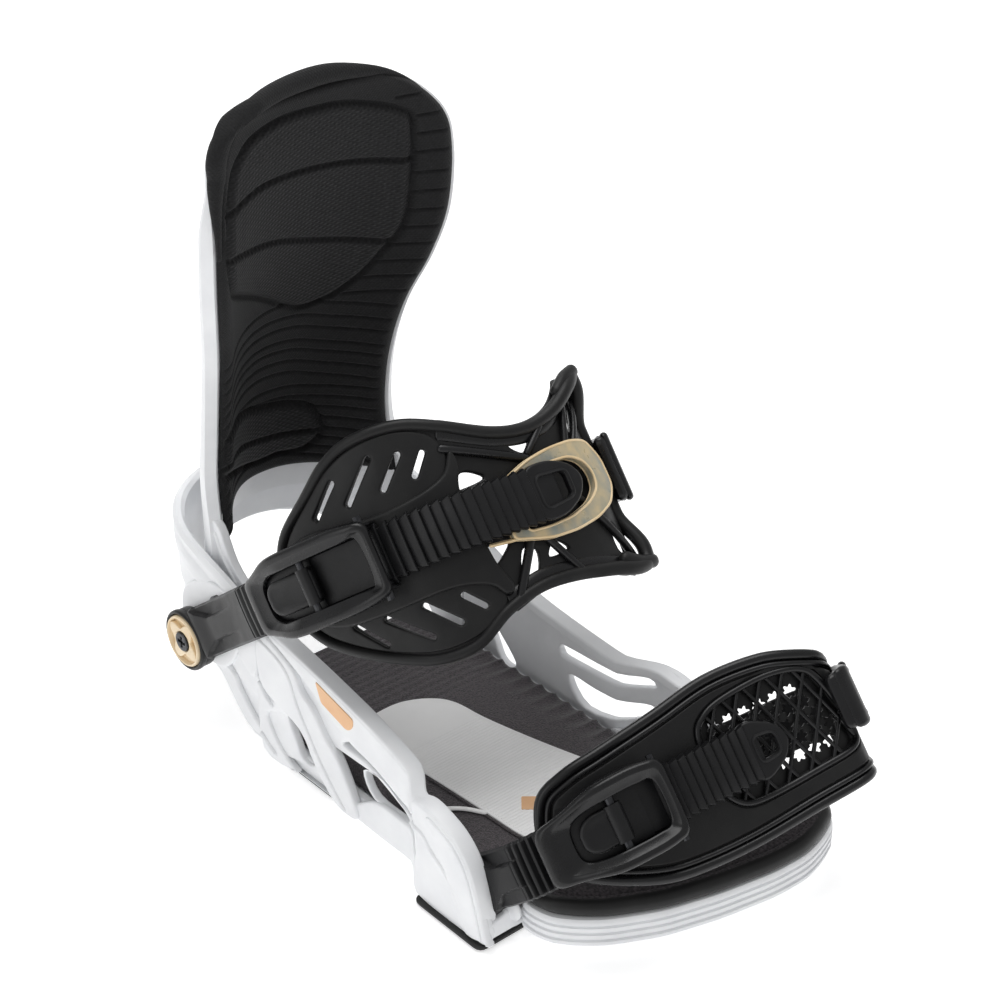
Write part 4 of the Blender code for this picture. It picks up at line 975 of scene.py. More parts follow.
def build_liner():
    """The foam liner: embossed panels, sewn-looking channels and a thick roll over the shell's edge."""
    z_low, z_high = 0.0842, 0.2765
    count_x, count_z = 118, 360
    margin, thickness, edge_thickness, edge_round = 0.0008, 0.0046, 0.0004, 0.0035
    z = np.linspace(z_low, z_high, count_z)
    flat = highback_grid(half_width(z) - margin, z, count_x, crowding=1.15)

    upper, lower = (highback_path(panel + panel[:1]) for panel in (UPPER_PANEL, LOWER_PANEL))
    height = np.full(len(flat), thickness)
    in_upper, in_lower = inside(flat, upper), inside(flat, lower)
    for outline, within in ((upper, in_upper), (lower, in_lower)):
        gap = distance_to(flat, outline)
        height += np.where(within, 0.0013 * ease(gap, 0.0008, 0.0035), 0)
        height -= 0.0021 * bell(gap, 0.0, 0.0019)
        height += np.where(within, 0.0005 * ease(gap, 0.004, 0.012), 0)
    for seam in (*UPPER_SEAMS, LOWER_SEAM):
        height -= 0.0024 * bell(distance_to(flat, highback_path(seam)), 0.0, 0.0020)
    channels = [[(start, level), (.95 if level < .26 else .90, level + 0.0006)]
                for level, start in SIDE_LINES]
    for level in CROSS_LINES:
        rise = 0.0095 if level > 0.125 else 0.0055
        channels.append([(-.97, level - rise * 0.2), (-.75, level + rise * 0.55),
                         (-.35, level + rise * 0.85), (.10, level + rise * 0.75),
                         (.50, level + rise * 0.3), (.93, level)])
    free = ~(in_upper | in_lower)
    for channel in channels:
        gap = distance_to(flat, highback_path(channel))
        height -= np.where(free, 0.0011 * bell(gap, 0.0, 0.0011), 0)
    edge = np.minimum.reduce([to_side(flat) - margin, flat[:, 1] - z_low, z_high - flat[:, 1]])
    soft = np.clip(1 - edge / edge_round, 0, 1)
    height = edge_thickness + (height - edge_thickness) * np.sqrt(np.clip(1 - soft ** 2, 0.02, 1))
    top = np.column_stack([flat, height]).reshape(count_z, count_x, 3)
    bottom = top.copy()
    bottom[..., 2] = 0.0003

    liner = Piece("highback_liner", [LINER_SKIN, PANEL_SKIN])

    def paint(centres):
        within = inside(centres[:, :2], upper) | inside(centres[:, :2], lower)
        return (within & (centres[:, 2] > 0.0035)).astype(int)

    liner.add(slab(top, bottom), on_highback, material=paint)
    # The roll climbs the outer side, rounds the corner and fades out along the top.
    climb = [(-half_width(h) - 0.0010, h) for h in np.linspace(0.2240, 0.2560, 12)]
    corner = [(-.0574, .2610), (-.0560, .2655), (-.0536, .2695), (-.0496, .2732), (-.0420, .2764),
              (-.0300, .2787), (-.0100, .2800), (.0060, .2797), (.0240, .2764), (.0350, .2716),
              (.0420, .2668), (.0455, .2635)]
    path = resample(catmull(climb + corner, 4), 150)
    along = np.linspace(0, 1, len(path))
    thick = 0.0010 + 0.0030 * ease(along, 0.0, 0.28) - 0.0028 * ease(along, 0.62, 1.0)
    roll = np.column_stack([path, 0.0018 - 0.0022 * ease(along, 0.75, 1.0)])
    liner.add(tube(roll, thick, thick * 0.98, sides=14), on_highback)
    liner.finish("highback", ["highback_pad"], smooth=60)


def build_highback_shell():
    """The shell, ribbed behind, with a rolled rim and the two wings that hold its pivots."""
    count_x, count_z = 90, 190
    z = np.linspace(HIGHBACK[0, 0], HIGHBACK[-1, 0], count_z)
    flat = highback_grid(half_width(z), z, count_x)
    spine = line((0, .115), (0, .245))
    relief = 0.0028 * (1 - ease(distance_to(flat, spine), 0.007, 0.0090))
    for side in (-1, 1):
        rib = catmull([(side * .016, .118), (side * .026, .160), (side * .038, .200), (side * .040, .236)])
        relief = np.maximum(relief, 0.0026 * (1 - ease(distance_to(flat, rib), 0.0035, 0.0050)))
        dish = catmull([(side * .013, .215), (side * .015, .240), (side * .030, .244), (side * .031, .215),
                        (side * .018, .180), (side * .012, .170)], 6, closed=True)
        gap = distance_to(flat, np.vstack([dish, dish[:1]]))
        relief = np.where(inside(flat, dish), -0.0018 * ease(gap, 0.0, 0.0018), relief)
    edge = np.minimum.reduce([to_side(flat), flat[:, 1] - z[0] + 0.002, z[-1] + 0.0015 - flat[:, 1]])
    rim = 0.0012 * bell(edge, 0.0042, 0.0030)
    rim += 0.0034 * (1 - ease(edge, 0.0030, 0.0085)) * (1 - ease(flat[:, 1], 0.228, 0.252))
    soft = 0.0013 * np.clip(1 - edge / 0.0016, 0, 1) ** 2
    outside = np.column_stack([flat, -SHELL_THICKNESS - relief - rim + soft]).reshape(count_z, count_x, 3)
    facing = np.column_stack([flat, -soft * 0.6]).reshape(count_z, count_x, 3)
    shell = Piece("highback_moulding", [WHITE])
    shell.add(slab(facing, outside), on_highback)
    wing = [(.0790, .052), (.0850, .0478), (.0960, .0480), (.1030, .055), (.1090, .075), (.1080, .092),
            (.1010, .092), (.0930, .078), (.0800, .066)]
    outline = catmull(wing, 4, closed=True)
    for side in (-1, 1):
        def upright(flat, side=side):
            return np.stack([side * flat[:, 2], flat[:, 0], flat[:, 1]], 1)
        shell.add(plate(outline, 0.0455, 0.0496, 0.0008, [circle(BOLT_HOLE, 20, PIVOT)]), upright)
        boss = circle(0.0085, 32, PIVOT)
        shell.add(plate(boss, 0.0490, 0.0502, 0.0005, [circle(0.0044, 20, PIVOT)]), upright)
        rib = catmull([(.0900, .0700), (.0980, .0780), (.1030, .0880)])
        shell.add(tube(at_height(rib, 0.0494), 0.0011, 0.0010, sides=8), upright)
    shell.finish("highback", ["highback_shell"], smooth=45)


def build_lean_adjuster():
    """The forward lean block behind the highback, with a grip lever and clamp teeth."""
    block = Piece("lean_block", [BLACK, DARK_STEEL])

    def upright(flat):
        return np.stack([flat[:, 2], flat[:, 0], flat[:, 1]], 1)

    outline = rounded([(.1436, .0925), (.1560, .0925), (.1570, .1000), (.1500, .1240), (.1372, .1240)],
                      0.0025)
    block.add(plate(outline, -0.0130, 0.0130, 0.0010), upright)
    grip = rounded([(.1500, .0935), (.1572, .0935), (.1580, .1010), (.1545, .1150), (.1510, .1150)], 0.0018)
    block.add(plate(grip, -0.0150, 0.0150, 0.0012), upright)
    for y, z in line((0.1560, 0.1180), (0.1595, 0.1020), 0.0032):
        block.add(tube([(-0.0105, y, z), (0.0105, y, z)], 0.0008, sides=8))
    block.add(tube([(-0.0156, .1450, .1190), (0.0156, .1450, .1190)], 0.0019, sides=14), material=1)
    block.finish("lean_adjuster", ["lean_adjuster"], smooth=40)


# ---- Straps -----------------------------------------------------------------------------------------
TOOTH_PITCH = 0.0037
LADDER_UNDERSIDE = -0.0015


def ladder_arm(until, ribs, hollows, washer):
    """The arm from the bolt eye to the first teeth: side hollows by a thumb rest, and ribs across it."""
    t = np.linspace(0.003, until, 170)[:, None]
    w = np.linspace(-1, 1, 41)
    w = np.sign(w) * (1 - (1 - np.abs(w)) ** 1.3)
    over = np.abs(w)[None]
    height = 0.0022 - 0.0004 * over ** 2
    if washer:
        height = height + 0.0019 * ease(t, 0.0118, 0.0124) * (1 - ease(t, 0.0128, 0.0240))
    share = np.clip((t - hollows[0]) / (hollows[1] - hollows[0]), 0, 1)
    boundary = np.interp(share, [0, .10, .30, .60, 1], [1.0, .74, .46, .40, .44])
    hollow = ease(over, boundary, boundary + 0.06) * ease(share, 0.0, 0.03) * (1 - ease(share, 0.50, 1.0))
    height = height - 0.0022 * hollow
    rib_start, rib_end, rib_count = ribs
    saw = ((t - rib_start) / (rib_end - rib_start) * rib_count) % 1.0
    step = 0.0020 * ease(saw, 0.02, 0.14) * (1 - 0.9 * ease(saw, 0.45, 0.98))
    height = np.where((t > rib_start) & (t < rib_end), height - 0.0019 + step, height)
    height = height - 0.0019 * ease(over, 0.88, 1.0) ** 2
    across = np.broadcast_to(w * (LADDER_HALF - 0.0002), height.shape)
    along = np.broadcast_to(t, height.shape)
    return slab(np.stack([along, across, height], 2),
                np.stack([along, across * 0.96, np.full(height.shape, LADDER_UNDERSIDE)], 2))


def ladder_tooth(tip):
    """A tooth that rises towards its tip and narrows away from it, so that each laps over the next."""
    root = tip - TOOTH_PITCH * 1.04
    profile = [(root, LADDER_UNDERSIDE), (root, 0.0012), (root + 0.0008, 0.0015), (tip - 0.0010, 0.0028),
               (tip - 0.0005, 0.0029), (tip - 0.0002, 0.0024), (tip - 0.0001, LADDER_UNDERSIDE)]
    return loft([[(a, share * (LADDER_HALF - 0.0016 * (tip - a) / TOOTH_PITCH),
                   h - shrink if h > 0 else h + shrink * 0.5) for a, h in profile]
                 for share, shrink in ((-1, 0.0011), (-0.955, 0.0002), (-0.90, 0.0), (0, 0.0), (0.90, 0.0),
                                       (0.955, 0.0002), (1, 0.0011))])


def build_ladder(prefix, strap, buckle, end, last_tip, hole, ribs, hollows, washer=0.0):
    """The strap from its bolt eye through the buckle: arm, lapping teeth and a rounded end with a hole.

    ribs is (start, end, count) and hollows (start, end) along the arm. washer is the radius of a washer
    that the eye has a collar for.
    """
    piece = Piece(prefix + "_ladder_strap", [BLACK])
    start = buckle[0]
    piece.bend(strap.ladder, circle(0.0132, 56), -0.0038, 0.0022, 0.0016, [circle(BOLT_HOLE, 24)])
    if washer:
        piece.bend(strap.ladder, circle(0.0136, 64), 0.0014, 0.0046, 0.0010, [circle(washer + 0.0003, 56)])
    piece.add(ladder_arm(start + 0.036, ribs, hollows, washer), strap.ladder)
    strip = rounded([(start + 0.030, -0.0100), (start + 0.030, 0.0100), (end - 0.0120, 0.0100),
                     (end - 0.0120, -0.0100)], 0.002)
    piece.bend(strap.ladder, strip, -0.0014, 0.0010, 0.0004, cuts=0.0022)
    for k in range(int((last_tip - buckle[1] - 0.0005) / TOOTH_PITCH + 1.6)):
        piece.add(ladder_tooth(last_tip - k * TOOTH_PITCH), strap.ladder)
    nose = [(last_tip - 0.001, -LADDER_HALF), (last_tip - 0.001, LADDER_HALF), (end - 0.0130, LADDER_HALF),
            (end - 0.0040, 0.0072), (end, 0.0), (end - 0.0040, -0.0072), (end - 0.0130, -LADDER_HALF)]
    nose = resample(rounded(nose, 0.007, 6), 60, closed=True)
    opening = rounded(hole, 0.0022, 5)
    piece.bend(strap.ladder, nose, LADDER_UNDERSIDE, 0.0022, 0.0010, [opening], cuts=0.0025)
    rim = resample(inset(opening, -0.0009), 60, closed=True)
    piece.add(tube(at_height(rim, 0.0020), 0.0007, 0.0006, sides=8, closed=True), strap.ladder)
    piece.finish(prefix + "_strap", [prefix + "_ladder"], smooth=33)


def loop_between(outer, inner, section):
    """Lofts section round two loops; it gives (share of the way inwards, height) for a place along."""
    return loft([[(*(a + (b - a) * share), h) for share, h in section((a[0] + b[0]) / 2)]
                 for a, b in zip(outer, inner)], closed=True)


def mirrored(upper):
    """A closed outline from its upper half."""
    return upper + [(x, -y) for x, y in reversed(upper)]


def nearest_by_angle(outer, inner, centre):
    """For each point of outer the point of inner that lies in the same direction from centre."""
    angles, others = (np.arctan2(loop[:, 1], loop[:, 0] - centre) for loop in (outer, inner))
    matched = inner[[np.argmin(np.abs(np.angle(np.exp(1j * (others - a))))) for a in angles]]
    return (np.roll(matched, 1, 0) + matched * 2 + np.roll(matched, -1, 0)) / 4


def build_buckle(prefix, strap, buckle, square):
    """A ratchet buckle: pressed frame, ring-shaped lever with a stepped rim, and a D-shaped release tab."""
    start, end = buckle
    wall_in, wall_out = LADDER_HALF + 0.0006, LADDER_HALF + 0.0019
    base = Piece(prefix + "_buckle_frame", [DARK_ALUMINIUM])
    floor = rounded([(start + .009, -.0128), (start + .009, .0128), (end, wall_out), (end, -wall_out)],
                    .0020)
    base.bend(strap.ladder, floor, -0.0045, -0.0021, 0.0005)
    wall = [(start + .022, -.0045), (end, -.0045), (end, .0018), (end - .0010, .0042), (end - .0013, .0055),
            (end - .0025, .0064), (end - .0090, .0064), (end - .0140, .0074), (start + .030, .0074),
            (start + .022, .0010)]
    for side in (-1, 1):
        def on_edge(flat, side=side):
            return strap.ladder(flat[:, [0, 2, 1]] * (1, side, 1))

        base.bend(on_edge, rounded(wall, 0.002), wall_in, wall_out, 0.0004)
    base.finish(prefix + "_strap", [prefix + "_buckle_base"], smooth=35)

    outer = mirrored([(start, .0112), (start + .011, .0132), (start + .020, .0164), (start + .026, .0169),
                      (end - .011, .0169), (end - .0005, .0150)])
    nose = [(end - .0120, .0098), (end - .0058, .0076)]
    if square:
        nose = [(end - .0110, .0100), (end - .0054, .0090)]
    inner = mirrored([(start + .0115, .0050), (start + .0150, .0084), (start + .0230, .0098), *nose])
    outer = resample(rounded(outer, 0.0042, 6), 150, closed=True)
    inner = resample(catmull(inner, closed=True), 150, closed=True)
    inner = nearest_by_angle(outer, inner, (start + end) / 2)

    def section(along):
        """The ring rises from the bolt's side, dips at its far end, and steps down to a thin inner lip."""
        up = float(ease(along, start + 0.006, start + 0.026))
        down = float(ease(along, end - 0.008, end + 0.001))
        top = 0.0056 + 0.0040 * up - 0.0014 * down
        low = 0.0026 - 0.0010 * up + 0.0050 * float(ease(along, end - 0.0100, end - 0.0055))
        lip = 0.0028 + 0.0050 * up - 0.0014 * down
        return [(0.0, low), (0.0, max(top - 0.0022, low + 0.0002)), (0.05, top - 0.0009),
                (0.14, top - 0.0002), (0.24, top), (0.44, top), (0.50, top - 0.0002),
                (0.56, top - 0.0007), (0.88, top - 0.0012), (0.97, top - 0.0015), (1.0, lip),
                (0.41, lip - 0.0001), (0.39, low)]

    lever = Piece(prefix + "_lever_ring", [BLACK_SATIN])
    lever.add(loop_between(outer, inner, section), strap.ladder)
    lever.finish(prefix + "_lever", [prefix + "_lever"], smooth=50)

    tab_half = wall_in - 0.0049
    pin_along, pin_height = end - 0.46 * (end - start), 0.0052
    plan = mirrored([(start + .0134, .0026), (start + .0148, .0054), (start + .0180, tab_half),
                     (start + .0240, tab_half), (pin_along + .0030, tab_half)])
    plan = resample(rounded(plan, 0.0022, 5), 90, closed=True)
    layers = [(0.0007, 0.0030), (0.0, 0.0035), (0.0, 0.0049), (0.0004, 0.0055), (0.0011, 0.0058),
              (0.0022, 0.0058), (0.0030, 0.0055)]
    tab = Piece(prefix + "_release_lever", [BLACK])
    tab.add(stacked(plan, layers), strap.ladder)
    barrel = [(pin_along, -tab_half, pin_height), (pin_along, tab_half, pin_height)]
    tab.add(tube(barrel, 0.0026, sides=20, blunt=False), strap.ladder)
    tab.finish(prefix + "_tab", [prefix + "_release_tab"], smooth=40)


def rim_of(outline, pull, wide, high, height, count=260):
    """A rounded rim round an outline, moved in by pull."""
    path = resample(inset(outline, pull), count, closed=True)
    return tube(at_height(path, height), wide, high, sides=12, closed=True)


# Outlines in strap space, as (along, across).
ANKLE_OUTLINE = [(.080, -.006), (.084, .010), (.092, .022), (.110, .033), (.124, .042), (.138, .046),
                 (.156, .0445), (.172, .0375), (.190, .028), (.206, .0245), (.220, .027), (.232, .034),
                 (.240, .0365), (.2425, .024), (.2440, .008), (.2440, -.012), (.2415, -.030),
                 (.2375, -.0445), (.229, -.0468), (.216, -.0425), (.200, -.0385), (.184, -.037),
                 (.168, -.040), (.152, -.0475), (.136, -.047), (.120, -.0405), (.104, -.032), (.090, -.022)]
ANKLE_SLOTS = (((.112, .0225), (.124, .0325)), ((.127, .0225), (.141, .0355)),
               ((.142, .0225), (.152, .0325)), ((.155, .0225), (.161, .0295)),
               ((.109, -.0215), (.119, -.0325)), ((.123, -.0235), (.137, -.0365)),
               ((.139, -.0245), (.149, -.0355)), ((.154, -.0265), (.160, -.0335)))
ANKLE_OPENINGS = ([(.1680, .0110), (.1690, .0140), (.1720, .0165), (.1765, .0150), (.1800, .0112)],
                  [(.1955, .0200), (.2060, .0195), (.2010, .0145)],
                  [(.1660, -.0140), (.1790, -.0145), (.1745, -.0190), (.1700, -.0210), (.1675, -.0190)],
                  [(.1980, -.0215), (.2030, -.0265), (.1930, -.0265)],
                  [(.1830, -.0200), (.1890, -.0220), (.1860, -.0300), (.1790, -.0300)],
                  [(.2280, .0150), (.2370, .0200), (.2350, .0270), (.2280, .0240)],
                  [(.2290, -.0240), (.2360, -.0330), (.2330, -.0390), (.2270, -.0350)])


def build_ankle_pad():
    """The ankle strap's moulded frame: slotted wings, a raised spine, an open truss and thick rims."""
    outline = catmull(ANKLE_OUTLINE, 6, closed=True)
    slots = [slot(a, b, 0.0025) for a, b in ANKLE_SLOTS]
    openings = [catmull(loop, 5, closed=True) for loop in ANKLE_OPENINGS]
    piece = Piece("ankle_strap_frame", [RUBBER, BLACK_SATIN])
    piece.bend(ANKLE.place, outline, -0.0024, 0.0004, 0.0008, slots + openings)
    wing = catmull([(.0835, -.004), (.0875, .009), (.095, .0195), (.111, .0300), (.125, .0385),
                    (.138, .0420), (.154, .0410), (.1655, .0350), (.1690, .0260), (.1665, .0180),
                    (.1655, .0090), (.1655, -.0120), (.1670, -.0240), (.1690, -.0330), (.1650, -.0385),
                    (.152, -.0430), (.137, -.0425), (.121, -.0365), (.106, -.0285), (.093, -.0190)],
                   6, closed=True)
    piece.bend(ANKLE.place, wing, -0.0005, 0.0016, 0.0009, slots)
    spine = catmull([(.0850, .0020), (.0930, .0145), (.1060, .0185), (.1300, .0150), (.1500, .0150),
                     (.1640, .0185), (.1700, .0260), (.1715, .0200), (.1680, .0100), (.1690, -.0080),
                     (.1700, -.0200), (.1730, -.0310), (.1690, -.0330), (.1640, -.0270), (.1500, -.0225),
                     (.1250, -.0220), (.1040, -.0200), (.0900, -.0120)], 6, closed=True)
    piece.bend(ANKLE.place, spine, 0.0008, 0.0034, 0.0013)
    struts = [((.1680, .0280), (.2000, .0120), .0030), ((.2020, .0140), (.2170, .0255), .0024),
              ((.2180, .0060), (.2310, .0310), .0022), ((.1900, -.0140), (.1730, -.0370), .0030),
              ((.1930, -.0170), (.2040, -.0370), .0024), ((.2160, -.0100), (.2360, -.0420), .0024),
              ((.2350, -.0080), (.2430, -.0060), .0040), ((.1690, .0020), (.1930, .0020), .0050),
              ((.2250, .0100), (.2420, .0300), .0020)]
    for a, b, wide in struts:
        piece.add(tube(at_height(line(a, b), 0.0012), wide / 2 + 0.0004, 0.0017), ANKLE.place, material=1)
    for edge in ([(.1700, .0350), (.1900, .0250), (.2060, .0215), (.2200, .0240), (.2330, .0320)],
                 [(.1700, -.0365), (.1850, -.0335), (.2000, -.0350), (.2160, -.0390), (.2320, -.0440)]):
        piece.add(tube(at_height(catmull(edge), 0.0002), 0.0042, 0.0012), ANKLE.place, material=1)
    path = resample(inset(outline, 0.0016), 420, closed=True)
    along, across = path.T
    flare = ease(along, 0.205, 0.241) * ease(np.abs(across + 0.004), 0.018, 0.036)
    wide = 0.0022 + 0.0008 * ease(along, 0.12, 0.24)
    rim = at_height(path, 0.0006 + 0.0055 * flare)
    piece.add(tube(rim, wide, sides=14, closed=True), ANKLE.place)
    for side, tip_along, tip_across in ((1, .2395, .0355), (-1, .2370, -.0438)):
        fold = [(tip_along - .0120, tip_across - side * .0040, .0028),
                (tip_along - .0060, tip_across, .0048),
                (tip_along - .0005, tip_across + side * .0015, .0072)]
        piece.add(tube(catmull(fold, 6), 0.0030, 0.0027, sides=12), ANKLE.place)
    piece.finish("ankle_strap", ["ankle_strap_pad"], smooth=50)


def build_keeper():
    """The clear amber loop that holds the ladder's end, with bright cut edges."""
    outer = [(.1780, -.0150), (.1860, .0080), (.1960, .0112), (.2080, .0126), (.2185, .0122),
             (.2260, .0100), (.2310, .0005), (.2315, -.0105), (.2265, -.0172), (.2170, -.0206),
             (.2060, -.0216), (.1940, -.0205)]
    inner = [(.1850, -.0140), (.1920, .0040), (.2050, .0068), (.2150, .0060), (.2205, .0022),
             (.2230, -.0030), (.2220, -.0090), (.2160, -.0132), (.2060, -.0155), (.1950, -.0155)]
    outer = resample(rounded(outer, 0.0030, 5), 160, closed=True)
    inner = resample(rounded(inner, 0.0030, 5), 120, closed=True)
    loop = Piece("ankle_keeper_band", [AMBER, CREAM_EDGE])
    loop.bend(ANKLE.place, outer, 0.0032, 0.0066, 0.0007, [inner], cuts=0.0025)
    for outline, pull in ((outer, 0.0004), (inner, -0.0004)):
        for height in (0.0064, 0.0034):
            loop.add(rim_of(outline, pull, 0.00055, 0.0005, height, count=180), ANKLE.place, material=1)
    tail = catmull([(.1700, -.0135), (.1790, -.0150), (.1890, -.0160)], 6)
    loop.add(tube(at_height(tail, 0.0045), 0.0008, 0.0010, sides=8), ANKLE.place, material=1)
    loop.finish("ankle_strap", ["ankle_keeper_loop"], smooth=45)


TOE_OUTLINE = [(.034, .004), (.040, .0215), (.052, .0275), (.069, .0300), (.093, .033), (.117, .0365),
               (.139, .0352), (.153, .0310), (.166, .0245), (.177, .0155), (.1830, .003), (.1825, -.012),
               (.175, -.0232), (.162, -.0258), (.143, -.027), (.112, -.029), (.086, -.028), (.069, -.0245),
               (.049, -.015), (.038, -.006)]
TOE_WINDOW = [(.1070, .0000), (.1070, .0160), (.1110, .0215), (.1200, .0245), (.1390, .0255), (.1520, .0225),
              (.1570, .0160), (.1620, -.0020), (.1610, -.0100), (.1460, -.0120), (.1190, -.0130),
              (.1100, -.0090)]


def star(centre, radius, points=6, depth=0.24, count=36):
    """A closed outline that waves in and out round a circle."""
    a = np.arange(count) * 2 * math.pi / count
    r = radius * (1 + depth * np.cos(points * a)) / (1 + depth)
    return np.stack([centre[0] + r * np.cos(a), centre[1] + r * np.sin(a)], 1)


def build_toe_pad():
    """The toe strap's cap: a double rim round it, a window with a star mesh and crossing bars."""
    outline = catmull(TOE_OUTLINE, 6, closed=True)
    window = catmull(TOE_WINDOW, 6, closed=True)
    piece = Piece("toe_strap_cap", [RUBBER, BLACK_SATIN])
    piece.bend(TOE.place, outline, -0.0023, 0.0010, 0.0010, [window])
    piece.bend(TOE.place, inset(outline, 0.0062), 0.0006, 0.0021, 0.0007, [inset(window, -0.0030)])
    piece.add(rim_of(outline, 0.0014, 0.0021, 0.0021, 0.0006, count=320), TOE.place, material=1)
    piece.add(rim_of(outline, 0.0046, 0.0012, 0.0015, 0.0014, count=320), TOE.place, material=1)
    piece.add(rim_of(window, -0.0014, 0.0013, 0.0014, 0.0014), TOE.place, material=1)
    star_pitch, bar_pitch = 0.0066, 0.0098
    centres = np.array([(0.104 + star_pitch * (column + 0.5 * (row % 2)), row * star_pitch * 0.87)
                        for row in range(-5, 8) for column in range(12)])
    stars = [star(centre, 0.0029) for centre in centres[inside(centres, inset(window, 0.0030))]]
    piece.bend(TOE.place, inset(window, -0.0006), -0.0020, -0.0008, 0.0003, stars)
    edge = inset(window, -0.0012)
    for k in range(-4, 9):
        middle = 0.101 + bar_pitch * k
        for low, high in ((-.020, .026), (.022, -.006)):
            path = line((middle + low, -.030), (middle + high, .040), 0.0012)
            path = path[inside(path, edge)]
            if len(path) > 3:
                piece.add(tube(at_height(path, 0.0009), 0.0009, 0.0010, sides=8), TOE.place, material=1)
    piece.finish("toe_strap", ["toe_strap_pad"], smooth=50)


def build_connector(prefix, strap, start, across, clamp_middle, clamp_half, over_pad=0.0):
    """The inner strap with its cross ribs and bolt eye, and the length adjuster clamped on it.

    The strap begins at start, shifted by across, and lies on top of the pad for the length over_pad.
    """
    half = LADDER_HALF - 0.0005
    end = strap.end

    def place(flat):
        moved = flat.copy()
        if over_pad:
            moved[:, 2] += 0.0043 * (1 - ease(flat[:, 0], start + over_pad, start + over_pad + 0.025))
        return strap.place(moved)

    strap_piece = Piece(prefix + "_connector_strap", [BLACK])
    outline = [(end + .004, -half), (end + .004, half), (start + .012, half + across),
               (start, half - .003 + across), (start, -half + .003 + across),
               (start + .012, -half + across)]
    hole = circle(BOLT_HOLE, 20, (end, 0.0))
    strap_piece.bend(place, rounded(outline, 0.004), -0.0012, 0.0008, 0.0005, [hole])
    strap_piece.bend(place, circle(0.0120, 48, (end, 0.0)), -0.0013, 0.0018, 0.0008, [hole])
    rib_pitch = 0.0042
    for t in np.arange(start + 0.012, end - 0.016, rib_pitch):
        shift = across * (1 - (t - start - 0.012) / (end - start - 0.008))
        rib = line((t, shift - half + 0.0030), (t, shift + half - 0.0030), 0.006)
        strap_piece.add(tube(at_height(rib, 0.0008), 0.0012, 0.0009, sides=6), place)
    for side in (-1, 1):
        edge = line((start + 0.012, across + side * (half - 0.0012)), (end - 0.012, side * (half - 0.0012)))
        strap_piece.add(tube(at_height(edge, 0.0008), 0.0010, 0.0009, sides=8), place)
    strap_piece.finish(prefix + "_strap", [prefix + "_connector"], smooth=40)

    clamp = Piece(prefix + "_length_clamp", [BLACK_SATIN])
    along, middle = clamp_middle
    plan = resample(rounded(rectangle(along, middle, 0.0098, clamp_half), 0.003, 5), 110, closed=True)
    layers = [(0.0008, 0.0044), (0.0, 0.0052), (0.0, 0.0072), (0.0007, 0.0082), (0.0022, 0.0088),
              (0.0034, 0.0086)]
    clamp.add(stacked(plan, layers), strap.place)
    reach = clamp_half - 0.0008
    for offset, radius in ((-0.0058, 0.0022), (0.0046, 0.0017)):
        bar = line((along + offset, middle - reach), (along + offset, middle + reach))
        clamp.add(tube(at_height(bar, 0.0086), radius, radius * 0.8, sides=12), strap.place)
    clamp.finish(prefix + "_strap", [prefix + "_adjuster"], smooth=40)


# ---- Bolts ------------------------------------------------------------------------------------------
def build_bolts(prefix, bolt, outward, seat, radius):
    """Washers with a raised rim and a broad cross, and cross-head screws, on both sides.

    outward is 1 where the heads face away from the middle and -1 where they face it; seat is the washers'
    distance from the middle and radius their own.
    """
    cross_turn = 0.55
    for label, side in (("outer", -1), ("inner", 1)):
        def place(flat, side=side):
            return np.stack([side * (seat + outward * flat[:, 2]), bolt[1] + flat[:, 0],
                             bolt[2] + flat[:, 1]], 1)

        washer = Piece(f"{label}_{prefix}_washer_disc", [CREAM])
        profile = [(0.0033, 0.0), (radius - 0.0006, 0.0), (radius, 0.0006), (radius, 0.0019),
                   (radius - 0.0004, 0.0026), (radius - 0.0010, 0.0026), (radius - 0.0014, 0.0016),
                   (radius - 0.0016, 0.0006), (0.0050, 0.0005), (0.0033, 0.0005)]
        washer.add(turned(profile, 72, closed=True), place)
        lobes = star((0.0, 0.0), radius - 0.0012, points=4, depth=0.27, count=96)
        cos, sin = math.cos(cross_turn), math.sin(cross_turn)
        lobes = lobes @ np.array([(cos, sin), (-sin, cos)])
        washer.add(plate(lobes, 0.0004, 0.0023, 0.0004, [circle(0.0046, 32)]), place)
        washer.finish("base", [f"{label}_{prefix}_washer"], smooth=40)

        arm, slim = 0.0026, 0.0006
        cross = [(arm, slim), (slim, slim), (slim, arm), (-slim, arm), (-slim, slim), (-arm, slim)]
        cross += [(-x, -y) for x, y in cross]
        low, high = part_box(f"{label}_{prefix}_screw")
        shank = -max(abs(abs(low.x) - seat), abs(abs(high.x) - seat))
        screw = Piece(f"{label}_{prefix}_bolt", [DARK_STEEL])
        screw.add(turned([(0, shank), (0.0027, shank), (0.0027, 0.0018), (0.0042, 0.0018), (0.0042, 0.0022),
                          (0, 0.0022)], 40), place)
        screw.add(plate(circle(0.0043, 48), 0.0019, 0.0030, 0.0004, [cross]), place)
        screw.finish("base", [f"{label}_{prefix}_screw"], smooth=40)


def dress_small_parts():
    """Better materials for the CAD parts whose shape is right: pins, nuts and pivot bolts."""
    for name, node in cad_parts.items():
        kind = name.rsplit("_", 1)[-1]
        if kind == "nut":
            material = STEEL
        elif kind in ("bolt", "pin"):
            material = DARK_STEEL
        else:
            continue
        for holder in node.material_slots:
            holder.material = material


